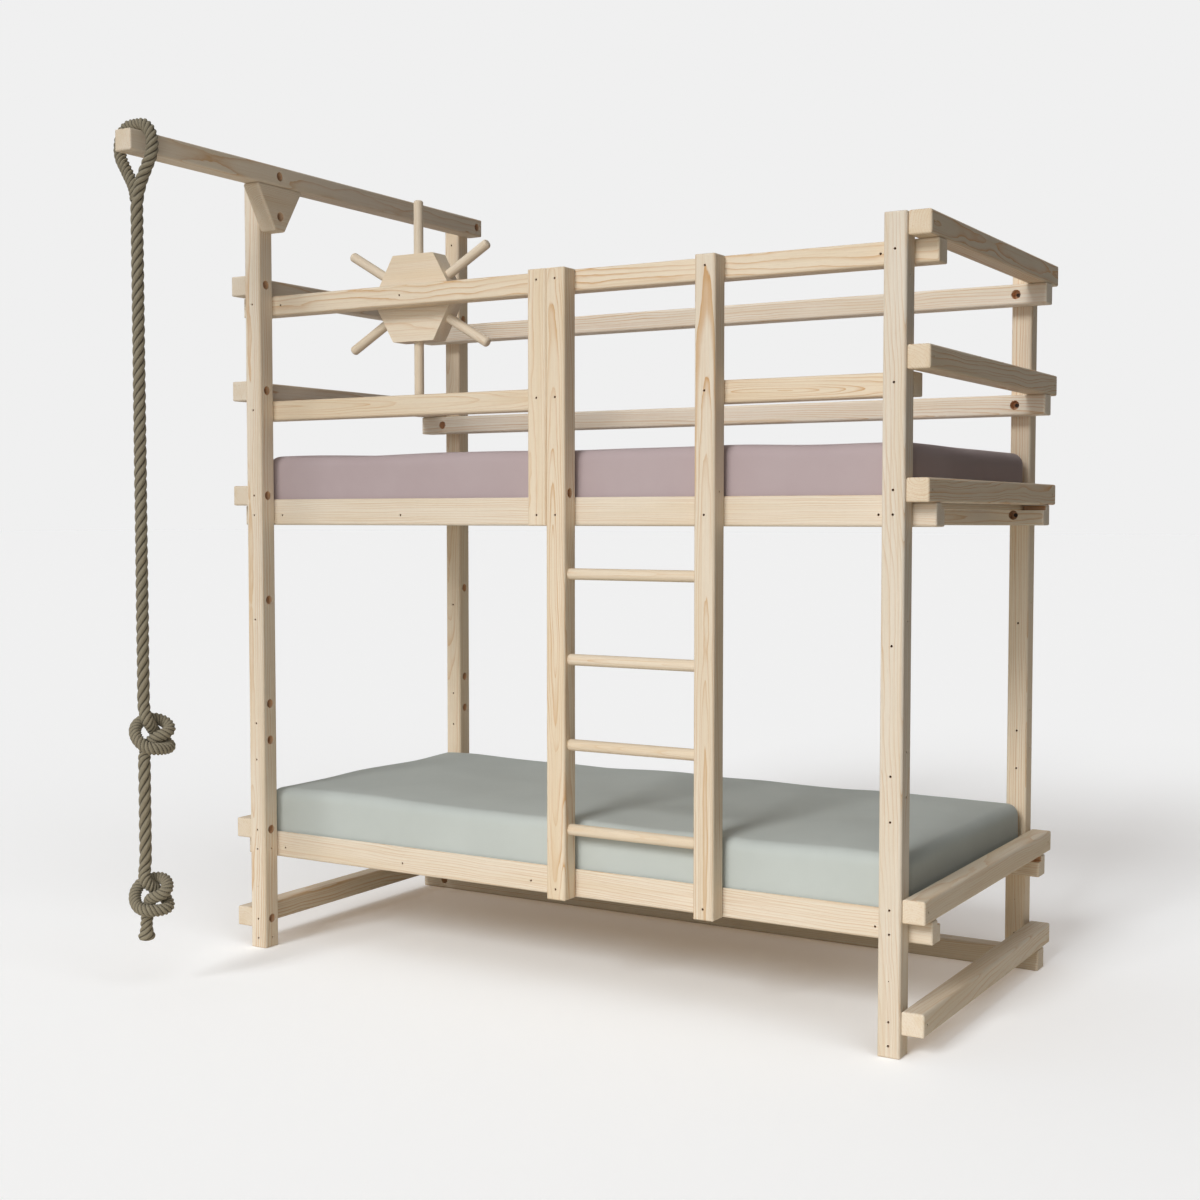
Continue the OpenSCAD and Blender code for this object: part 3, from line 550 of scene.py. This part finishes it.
def smooth(points, per):
    """A Catmull-Rom curve through the points, the same as in the CAD source."""
    p = np.array(points, float)
    out = []
    for i in range(len(p) - 1):
        a, b, c, d = p[max(i - 1, 0)], p[i], p[i + 1], p[min(i + 2, len(p) - 1)]
        for k in range(per):
            t = k / per
            square, cube = 2 * a - 5 * b + 4 * c - d, 3 * b - a - 3 * c + d
            out.append((2 * b + (c - a) * t + square * t**2 + cube * t**3) / 2)
    out.append(p[-1])
    return np.array(out)


def knot_path(z, turn):
    """A knot's centre line, its middle at height z on the hanging rope."""
    q = np.array(KNOT, float) * KNOT_UNIT
    c, s = math.cos(math.radians(turn)), math.sin(math.radians(turn))
    x, y = q[:, 0] * c + q[:, 2] * s, q[:, 0] * s - q[:, 2] * c
    return smooth(np.stack([x, y, z + q[:, 1]], 1), 12)


def rope_route():
    """The whole centre line from the eye's tucked end to the flared end, and how far along it each point is."""
    line = [smooth([(x / 1000, 0, BEAM_Z + z / 1000) for x, z in EYE], 8)]
    tail = np.array([[0, 0, ROPE_END + 0.02], [0, 0, ROPE_END]])
    for part in [knot_path(z, turn) for z, turn in KNOTS] + [tail]:
        # A straight run of rope down to the next part
        a, b = line[-1][-1], part[0]
        count = max(int(np.linalg.norm(b - a) / 0.01), 1)
        line.append(np.array([a + (b - a) * i / count for i in range(1, count)]).reshape(-1, 3))
        line.append(part)
    line = np.concatenate(line)
    gaps = np.linalg.norm(np.diff(line, axis=0), axis=1)
    line = line[np.concatenate([[True], gaps > 1e-6])]
    along = np.concatenate([[0], np.cumsum(np.linalg.norm(np.diff(line, axis=0), axis=1))])
    count = int(round(along[-1] / STEP))
    even = np.linspace(0, along[-1], count + 1)
    line = np.stack([np.interp(even, along, line[:, i]) for i in range(3)], 1)
    # Take the corners off the joints between the parts
    for _ in range(6):
        line[1:-1] = line[1:-1] * 0.5 + (line[:-2] + line[2:]) * 0.25
    return line, even


def rope_lay(line, even):
    """Length of one turn of a strand: long where the rope hangs straight, short in the eye and the knots."""
    z = line[:, 2]
    lay = np.interp(z, [KNOTS[0][0], KNOTS[0][0] + 0.25, 2.1], [0.128, 0.118, 0.113])
    in_eye = even < EYE_LENGTH
    over = np.interp(z, [BEAM_Z - 0.15, BEAM_Z - 0.08, BEAM_Z - 0.01, BEAM_Z + 0.05],
                     [0.105, 0.088, 0.064, 0.046])
    # The left leg, up to the eye's top, is laid shorter still
    over = np.where(np.arange(len(z)) < z.argmax(), np.minimum(over, 0.052), over)
    lay = np.where(in_eye, over, lay)
    for height, _ in KNOTS:
        low, high = height - KNOT_DOWN, height + KNOT_UP
        near = np.minimum((z - low + KNOT_BLEND) / KNOT_BLEND, (high + KNOT_BLEND - z) / KNOT_BLEND)
        lay = np.where(in_eye, lay, lay + (KNOT_LAY - lay) * np.clip(near, 0, 1))
    lay[(z < KNOTS[1][0] - 0.06) & ~in_eye] = TAIL_LAY
    return running_mean(lay, 15)


def running_mean(values, count):
    """The mean of the odd count of values round each one."""
    return np.convolve(np.pad(values, count // 2, mode="edge"), np.ones(count) / count, mode="valid")


def turned_frames(line):
    """Two directions across the line at each point, carried along without twist."""
    ahead = np.gradient(line, axis=0)
    ahead /= np.linalg.norm(ahead, axis=1)[:, None]
    a = np.cross(ahead[0], (0, 1, 0))
    a /= np.linalg.norm(a)
    sides = []
    for d in ahead:
        a = a - (a @ d) * d
        a /= np.linalg.norm(a)
        sides.append(a)
    a = np.array(sides)
    return a, np.cross(ahead, a)


def strand_radius(phase):
    """Distance of the surface from the centre line, as a share of the rope's diameter."""
    each = 2 * math.pi / STRANDS
    off = np.abs((phase / each + 0.5) % 1 - 0.5) * each
    return STRAND_OUT * np.cos(off) + np.sqrt(STRAND_R**2 - (STRAND_OUT * np.sin(off)) ** 2)


def rope_skin(line, even):
    """Rings of points on the laid surface. For the shader: where a yarn runs there, and how near a crest is."""
    lay = rope_lay(line, even)
    twist = np.concatenate([[0], np.cumsum(2 * math.pi * STEP / lay[1:])])
    around = np.arange(SIDES) / SIDES * 2 * math.pi
    # Right-hand lay: the strands climb to the right on the near side
    share = strand_radius(around[None, :] - twist[:, None])
    crest = (share - share.min()) / (share.max() - share.min())
    # The end flares, and its strands run together there
    to_end = even[-1] - even
    swell = np.interp(to_end, [0, 0.0015, 0.004, 0.008, 0.013, 0.020, 0.028, 0.036],
                      [0.80, 1.10, 1.27, 1.36, 1.36, 1.20, 1.04, 1.0])
    run = np.interp(to_end, [0.008, 0.030], [0.72, 0.0])
    share = share * (1 - run[:, None]) + MERGED * run[:, None]
    uneven = running_mean(np.random.default_rng(5).normal(0, 1, len(line)), 25)
    radius = np.minimum(share * ROPE_D * swell[:, None] * (1 + 0.03 * uneven[:, None]), WIDEST)
    a, b = turned_frames(line)
    outward = a[:, None, :] * np.cos(around)[None, :, None] + b[:, None, :] * np.sin(around)[None, :, None]
    yarn = around[None, :] - YARN_TURN * twist[:, None]
    length = np.repeat(even[:, None], SIDES, 1)
    weave = np.stack([YARN_R * np.cos(yarn), YARN_R * np.sin(yarn), length], -1)
    return line[:, None, :] + radius[:, :, None] * outward, weave, crest


def make_rope():
    """The laid rope as one tube from the eye's tucked end to the flared end."""
    line, even = rope_route()
    points, weave, crest = rope_skin(line, even)
    # Both ends are closed by rings that draw in
    rows = [line[0] + (points[0] - line[0]) * k for k in (0.3, 0.7)] + list(points)
    for k, lift in ((0.7, 0.0), (0.3, 0.0006)):
        rows.append(line[-1] + (points[-1] - line[-1]) * k + np.array([0, 0, lift]))
    rows = np.array(rows) + np.array([ROPE_X, ROPE_Y, 0])
    index = np.arange(len(rows) * SIDES).reshape(-1, SIDES)
    beside = np.roll(index, -1, axis=1)
    quads = np.stack([index[:-1], index[1:], beside[1:], beside[:-1]], -1).reshape(-1, 4)
    faces = quads.tolist() + [index[0].tolist(), index[-1][::-1].tolist()]
    obj = add_mesh("rope_laid", rows.reshape(-1, 3).tolist(), faces)
    ringed = [0, 0] + list(range(len(line))) + [len(line) - 1] * 2
    for label, kind, field, values in (
        ("weave", "FLOAT_VECTOR", "vector", weave[ringed]), ("crest", "FLOAT", "value", crest[ringed]),
    ):
        made = obj.data.attributes.new(label, kind, "POINT")
        made.data.foreach_set(field, values.astype(np.float32).ravel())
    dress(obj, make_rope_material())
    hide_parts("rope", "rope_eye")
    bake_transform(obj)


def make_rope_material():
    """Coarse fibre, with painted shade in the grooves between the strands, lighter on their crests."""
    material, t, shader = new_material("laid_rope")
    weave = t.node("ShaderNodeAttribute", attribute_name="weave").outputs["Vector"]
    crest = t.node("ShaderNodeAttribute", attribute_name="crest").outputs["Fac"]
    stretched = t.vector("MULTIPLY", weave, (1400, 1400, 90))
    yarn = t.noise(stretched, 1.0, 2.0, 0.6)
    fuzz = t.noise(t.vector("MULTIPLY", weave, (2600, 2600, 1400)), 1.0, 2.0, 0.6)
    patch = t.noise(t.vector("MULTIPLY", weave, (60, 60, 22)), 1.0, 2.0, 0.5)
    lit = t.mix(t.ranged(yarn, 0.3, 0.7), srgb(126, 119, 100), srgb(158, 150, 130))
    lit = t.mix(t.ranged(patch, 0.35, 0.7, 0.0, 0.5), lit, srgb(138, 127, 108))
    # Painted shade in the grooves between the strands, lighter colour on their crests
    colour = t.mix(t.ranged(crest, 0.0, 0.70, smooth=True), srgb(56, 50, 40), lit)
    colour = t.mix(t.ranged(fuzz, 0.55, 0.75, 0.0, 0.25), colour, srgb(178, 171, 150))
    t.put(colour, shader.inputs["Base Color"])
    height = t.math("ADD", t.math("MULTIPLY", yarn, 0.8), t.math("MULTIPLY", fuzz, 0.35))
    t.put(t.bump(height, 0.0009, 0.8), shader.inputs["Normal"])
    shader.inputs["Roughness"].default_value = 0.85
    shader.inputs["Specular IOR Level"].default_value = 0.2
    shader.inputs["Sheen Weight"].default_value = 0.12
    shader.inputs["Sheen Roughness"].default_value = 0.5
    return material


# ---------------------------------------------------------------- mattresses

# The solid's rounding in plan, along the top and along the foot, and its thickness at the edge
CORNER_R = 0.036
TOP_R = 0.032
FOOT_R = 0.016
MATTRESS_EDGE_T = 0.145
# The grid of a side: its step, the zone at each end with finer lines and their count, and the lines of the height
GRID_STEP = 0.022
EDGE_ZONE, EDGE_LINES = 0.07, 8
HEIGHT_LINES = 15
# The top: its crown and how far in from the edge that rises, its waves, how far it sinks, its limit over the solid
CROWN, CROWN_IN = 0.006, 0.3
WAVE, SUNK = 0.0040, 0.0035
OVER_SOLID = 0.004
# Length and share of the waves that a soft surface is made of
WAVES = ((1.3, 0.30), (0.75, 0.45), (0.46, 0.42), (0.33, 0.34), (0.21, 0.14))
# The sides: how far they are drawn in, how much that varies, and how deep into the mattress it reaches
DRAWN, DRAWN_WAVE, DRAWN_DEPTH = 0.005, 0.0016, 0.06
# Depth of the cover's folds at the corners
FOLD = 0.0007
# The calm end of a top: how far from the mattress's right end it sets in, and over what length
CALM_FROM, CALM_OVER = 0.45, 0.30
# Length in which a cover's weave repeats
THREAD = 0.0011


def plan_distance(x, y, half):
    """Signed distance from a mattress's outline in plan, below 0 inside."""
    qx, qy = np.abs(x) - (half[0] - CORNER_R), np.abs(y) - (half[1] - CORNER_R)
    return np.minimum(np.maximum(qx, qy), 0) + np.hypot(np.maximum(qx, 0), np.maximum(qy, 0)) - CORNER_R


def body_distance(p, half):
    """Signed distance from a mattress's surface: the outline in plan, with a rounded top and bottom edge."""
    r = np.where(p[:, 2] > 0, TOP_R, FOOT_R)
    q1, q2 = plan_distance(p[:, 0], p[:, 1], half) + r, np.abs(p[:, 2]) - half[2] + r
    return np.minimum(np.maximum(q1, q2), 0) + np.hypot(np.maximum(q1, 0), np.maximum(q2, 0)) - r


def edge_lines(half):
    """Places of a grid's lines along one side, close together near its ends."""
    ends = np.linspace(0, EDGE_ZONE, EDGE_LINES + 1)
    inner = half - EDGE_ZONE
    return np.concatenate([-half + ends[:-1], np.linspace(-inner, inner, int(2 * inner / GRID_STEP) + 1),
                           (half - ends[:-1])[::-1]])


def box_grid(xs, ys, zs):
    """Points and quads of a closed box with those grid lines on its sides."""
    nx, ny, nz = len(xs) - 1, len(ys) - 1, len(zs) - 1
    known, points, quads = {}, [], []

    def at(i, j, k):
        key = (i, j, k)
        if key not in known:
            known[key] = len(points)
            points.append((xs[i], ys[j], zs[k]))
        return known[key]

    for i in range(nx):
        for j in range(ny):
            quads.append((at(i, j, nz), at(i + 1, j, nz), at(i + 1, j + 1, nz), at(i, j + 1, nz)))
            quads.append((at(i, j, 0), at(i, j + 1, 0), at(i + 1, j + 1, 0), at(i + 1, j, 0)))
    for i in range(nx):
        for k in range(nz):
            quads.append((at(i, 0, k), at(i + 1, 0, k), at(i + 1, 0, k + 1), at(i, 0, k + 1)))
            quads.append((at(i, ny, k), at(i, ny, k + 1), at(i + 1, ny, k + 1), at(i + 1, ny, k)))
    for j in range(ny):
        for k in range(nz):
            quads.append((at(0, j, k), at(0, j, k + 1), at(0, j + 1, k + 1), at(0, j + 1, k)))
            quads.append((at(nx, j, k), at(nx, j + 1, k), at(nx, j + 1, k + 1), at(nx, j, k + 1)))
    return np.array(points, float), quads


def settled(points, half):
    """The points of a box, moved on to the rounded surface."""
    p = points.copy()
    for _ in range(60):
        distance = body_distance(p, half)
        slope = np.stack([body_distance(p + e, half) - body_distance(p - e, half) for e in np.eye(3) * 1e-5], 1)
        slope /= np.maximum(np.linalg.norm(slope, axis=1), 1e-9)[:, None]
        p -= slope * (distance * 0.7)[:, None]
    return p


def waves(x, y, seed):
    """Slow unevenness of a soft surface, from -1 to 1 or so."""
    rnd = random.Random(seed)
    total = np.zeros_like(x)
    for wave, size in WAVES:
        for _ in range(2):
            turn, shift = rnd.uniform(0, math.pi), rnd.uniform(0, 2 * math.pi)
            total += size * np.sin(2 * math.pi / wave * (x * math.cos(turn) + y * math.sin(turn)) + shift)
    return total / 1.6


def drawn_in(across, along, z, up, half_across, half_along, seed):
    """Places across a mattress whose sides are drawn in between the corners and belly out low down."""
    draw = DRAWN * (1 - (along / half_along) ** 2) + DRAWN_WAVE * waves(along * 1.4, z * 2, seed)
    side = np.clip(1 - (half_across - np.abs(across)) / DRAWN_DEPTH, 0, 1)
    return across - np.sign(across) * side * np.clip(draw, 0, None) * (0.35 + 0.65 * up)


def folded(x, y, up, half, seed):
    """Fine tension folds of the fitted cover, which run up each corner."""
    for sx in (-1, 1):
        for sy in (-1, 1):
            dx, dy = x - sx * (half[0] - CORNER_R), y - sy * (half[1] - CORNER_R)
            away = np.hypot(dx, dy)
            turn = np.arctan2(dy * sy, dx * sx)
            near = np.clip(1 - np.abs(turn - math.pi / 4) / (math.pi / 4), 0, 1) * (away > 0.02) * (away < 0.09)
            fold = FOLD * np.sin(turn * 26 + 3 * up + seed) * near * (1 - up) ** 0.7
            x, y = x + fold * dx / np.maximum(away, 1e-6), y + fold * dy / np.maximum(away, 1e-6)
    return x, y


def make_mattress(node, name, material, seed, calm=0.0):
    """A soft form over a mattress's solid. calm is the share of the top's waves that its right end lacks."""
    low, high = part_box(node)
    base = np.array([(low.x + high.x) / 2, (low.y + high.y) / 2, low.z + MATTRESS_EDGE_T / 2])
    half = np.array([(high.x - low.x) / 2, (high.y - low.y) / 2, MATTRESS_EDGE_T / 2])
    points, quads = box_grid(edge_lines(half[0]), edge_lines(half[1]), np.linspace(-half[2], half[2], HEIGHT_LINES))
    x, y, z = settled(points, half).T
    up = np.clip((z + half[2]) / (2 * half[2]), 0, 1)
    inset = np.clip(-plan_distance(x, y, half), 0, None)
    rise = CROWN * (1 - (1 - np.clip(inset / CROWN_IN, 0, 1)) ** 2)
    right_end = np.clip((x - half[0] + CALM_FROM) / CALM_OVER, 0, 1)
    level = WAVE * waves(x, y, seed) * (1 - calm * right_end) - SUNK
    z = z + up**2 * (rise + level)
    x, y = (drawn_in(x, y, z, up, half[0], half[1], seed + 2), drawn_in(y, x, z, up, half[1], half[0], seed + 1))
    x, y = folded(x, y, up, half, seed)
    z = np.minimum(z, high.z - base[2] + OVER_SOLID)
    obj = add_mesh(name, (np.stack([x, y, z], 1) + base).tolist(), quads)
    smoother = obj.modifiers.new("smooth", "SUBSURF")
    smoother.levels = smoother.render_levels = 1
    dress(obj, material)
    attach(obj, "root")
    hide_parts(node)


def make_cover(name, colour, shade):
    """A fine woven cotton cover."""
    material, t, shader = new_material(name)
    place = t.object_place()
    x, y, z = t.split(place)
    thread = 2 * math.pi / THREAD
    wobble = t.math("MULTIPLY", t.noise(place, 420, 1.0), 2.5)
    warp = t.math("SINE", t.math("ADD", t.math("MULTIPLY", x, thread), wobble))
    weft = t.math("SINE", t.math("ADD", t.math("MULTIPLY", t.math("ADD", y, z), thread), wobble))
    weave = t.math("MULTIPLY", warp, weft)
    slub = t.noise(t.vector("MULTIPLY", place, (45, 900, 900)), 1.0, 2.0, 0.6)
    slub2 = t.noise(t.vector("MULTIPLY", place, (900, 45, 45)), 1.0, 2.0, 0.6)
    lint = t.noise(place, 5.0, 3.0, 0.6)
    tone = t.math("ADD", 0.972, t.math("ADD", t.math("MULTIPLY", slub, 0.03), t.math("MULTIPLY", slub2, 0.03)))
    tone = t.math("ADD", tone, t.math("MULTIPLY", weave, 0.012))
    mixed = t.mix(t.ranged(lint, 0.3, 0.7), shade, colour)
    t.put(t.tinted(mixed, t.joined(tone, tone, tone)), shader.inputs["Base Color"])
    slubs = t.math("ADD", t.math("MULTIPLY", slub, 0.6), t.math("MULTIPLY", slub2, 0.6))
    fine = t.bump(t.math("ADD", t.math("MULTIPLY", weave, 0.5), slubs), 0.00012, 0.5)
    soft = t.noise(place, 9.0, 2.0, 0.45)
    t.put(t.bump(soft, 0.004, 0.35, fine), shader.inputs["Normal"])
    shader.inputs["Roughness"].default_value = 0.9
    shader.inputs["Specular IOR Level"].default_value = 0.15
    shader.inputs["Sheen Weight"].default_value = 0.08
    shader.inputs["Sheen Roughness"].default_value = 0.4
    return material


def make_mattresses():
    mauve = make_cover("mauve_cover", srgb(182, 167, 169), srgb(178, 162, 164))
    sage = make_cover("sage_cover", srgb(192, 199, 196), srgb(187, 194, 191))
    make_mattress("mattress_upper", "mattress_upper_soft", mauve, 3, calm=0.8)
    make_mattress("mattress_lower", "mattress_lower_soft", sage, 8)


# ---------------------------------------------------------------- floor and light

# The backdrop's level
WHITE = 0.871
# Light from all round, with the side that is brightest and its darkest and brightest share
AMBIENT = 0.26
AMBIENT_COLOUR = (1.0, 0.98, 0.945)
BRIGHT_SIDE = (-0.66, -0.25, 0.71)
DIMMEST, BRIGHTEST = 0.05, 1.95
# The bed's sun and softbox
KEY_FROM = (-0.05, -0.86, 0.50)
KEY_ANGLE = 19
KEY = 0.50
KEY_COLOUR = (1.0, 0.995, 0.99)
FRONT = 0.24
FRONT_COLOUR = (1.0, 0.985, 0.96)
FRONT_PLACE, FRONT_SIZE = (1.8, -2.6, 1.5), (1.6, 1.8)
BED_MIDDLE = (0.98, 0.40, 1.05)
# The floor's suns: where each comes from, its level and its angle
FLOOR_SUNS = (("floor_key", KEY_FROM, 0.66, KEY_ANGLE), ("floor_fill", (0.80, -0.50, 0.80), 0.29, 50))
# What the lamps and the world shed on the open floor
AMBIENT_ON_FLOOR = 1.28
FLOOR_LIGHT = [AMBIENT * AMBIENT_ON_FLOOR * c
               + sum(level * Vector(way).normalized().z for _, way, level, _ in FLOOR_SUNS)
               for c in AMBIENT_COLOUR]
# The floor's level in full shade, warm from the wood above it
FLOOR_LIFT = (0.115, 0.072, 0.045)
# The floor throws light back near the bed, and little of it far away
FLOOR_BOUNCE = (0.78, 0.72, 0.62)
BOUNCE_NEAR, BOUNCE_FAR, FAR_SHARE = 1.8, 3.5, 0.13
FLOOR_MIDDLE = (0.98, 0.30, 0.0)
FLOOR_HALF = 120.0


def camera_like(t):
    """1 for what the camera sees, straight, in a shine or through glass, and 0 for what lights the bed."""
    path = t.node("ShaderNodeLightPath").outputs
    seen = t.math("MAXIMUM", path["Is Camera Ray"], path["Is Glossy Ray"])
    return t.math("MAXIMUM", seen, path["Is Transmission Ray"])


def make_world():
    """A plain pale room for the camera, which sheds more light from the upper left than from the right."""
    world = bpy.data.worlds.new("studio")
    scene.world = world
    world.use_nodes = True
    world.node_tree.nodes.clear()
    t = Tree(world.node_tree)
    soft, plain = t.node("ShaderNodeBackground"), t.node("ShaderNodeBackground")
    way = t.node("ShaderNodeTexCoord").outputs["Generated"]
    facing = t.vector("DOT_PRODUCT", way, BRIGHT_SIDE)
    soft.inputs["Color"].default_value = AMBIENT_COLOUR + (1,)
    t.put(t.ranged(facing, -0.5, 1.0, AMBIENT * DIMMEST, AMBIENT * BRIGHTEST), soft.inputs["Strength"])
    plain.inputs["Color"].default_value = (WHITE, WHITE, WHITE, 1)
    plain.inputs["Strength"].default_value = 1
    mix, out = t.node("ShaderNodeMixShader"), t.node("ShaderNodeOutputWorld")
    t.put(camera_like(t), mix.inputs[0])
    t.put(soft.outputs[0], mix.inputs[1])
    t.put(plain.outputs[0], mix.inputs[2])
    t.put(mix.outputs[0], out.inputs["Surface"])


def only_lights(lamp, name, objects):
    """Links a lamp to the objects that it lights."""
    group = bpy.data.collections.new(name)
    for obj in objects:
        group.objects.link(obj)
    lamp.light_linking.receiver_collection = group


def new_lamp(name, kind, way, energy, colour):
    """A lamp whose light comes from that direction."""
    data = bpy.data.lights.new(name, kind)
    data.energy = energy
    data.color = colour
    lamp = bpy.data.objects.new(name, data)
    lamp.rotation_euler = Vector(way).to_track_quat("Z", "Y").to_euler()
    scene.collection.objects.link(lamp)
    return lamp


def make_sun(name, way, level, angle, colour=(1, 1, 1)):
    """level is what a white surface that faces the lamp shows."""
    lamp = new_lamp(name, "SUN", way, level * math.pi, colour)
    lamp.data.angle = math.radians(angle)
    return lamp


def make_softbox(name, place, target, size, level, colour):
    """level is what a white surface at the target shows when it faces the lamp."""
    way = Vector(place) - Vector(target)
    lamp = new_lamp(name, "AREA", way, level * math.pi**2 * way.length ** 2, colour)
    lamp.location = place
    lamp.data.shape = "RECTANGLE"
    lamp.data.size, lamp.data.size_y = size
    return lamp


def make_lights(bed, floor):
    """A sun and a softbox light the bed only. The floor has two suns of its own, which light all of it evenly."""
    only_lights(make_sun("key", KEY_FROM, KEY, KEY_ANGLE, KEY_COLOUR), "key_on", bed)
    only_lights(make_softbox("front", FRONT_PLACE, BED_MIDDLE, FRONT_SIZE, FRONT, FRONT_COLOUR), "front_on", bed)
    for name, way, level, angle in FLOOR_SUNS:
        only_lights(make_sun(name, way, level, angle), name + "_on", [floor])


def make_floor():
    """A wide floor as pale as the backdrop. What it shows the camera isn't what it throws back on the bed."""
    corners = [(x * FLOOR_HALF, y * FLOOR_HALF, 0) for x, y in ((-1, -1), (1, -1), (1, 1), (-1, 1))]
    floor = add_mesh("floor", corners, [(0, 1, 2, 3)], soft=False)
    material = bpy.data.materials.new("floor")
    material.use_nodes = True
    material.node_tree.nodes.clear()
    t = Tree(material.node_tree)
    out = t.node("ShaderNodeOutputMaterial")
    bounce = t.node("ShaderNodeBsdfDiffuse")
    away = t.vector("LENGTH", t.vector("SUBTRACT", t.object_place(), FLOOR_MIDDLE))
    near = t.ranged(away, BOUNCE_NEAR, BOUNCE_FAR, 1.0, FAR_SHARE, smooth=True)
    t.put(t.scaled(FLOOR_BOUNCE, near), bounce.inputs["Color"])
    shown = t.node("ShaderNodeBsdfDiffuse")
    open_floor = tuple((WHITE - lifted) / light for lifted, light in zip(FLOOR_LIFT, FLOOR_LIGHT))
    shown.inputs["Color"].default_value = open_floor + (1,)
    lift = t.node("ShaderNodeEmission")
    lift.inputs["Color"].default_value = FLOOR_LIFT + (1,)
    both, mix = t.node("ShaderNodeAddShader"), t.node("ShaderNodeMixShader")
    t.put(shown.outputs[0], both.inputs[0])
    t.put(lift.outputs[0], both.inputs[1])
    t.put(camera_like(t), mix.inputs[0])
    t.put(bounce.outputs[0], mix.inputs[1])
    t.put(both.outputs[0], mix.inputs[2])
    t.put(mix.outputs[0], out.inputs["Surface"])
    dress(floor, material)
    return floor


make_rope()
dress_bars()
dress_small_timber()
dress_metal()
make_mattresses()
make_world()
floor = make_floor()
make_lights([obj for obj in scene.objects if obj.type == "MESH" and obj is not floor], floor)
scene.view_settings.view_transform = "Standard"
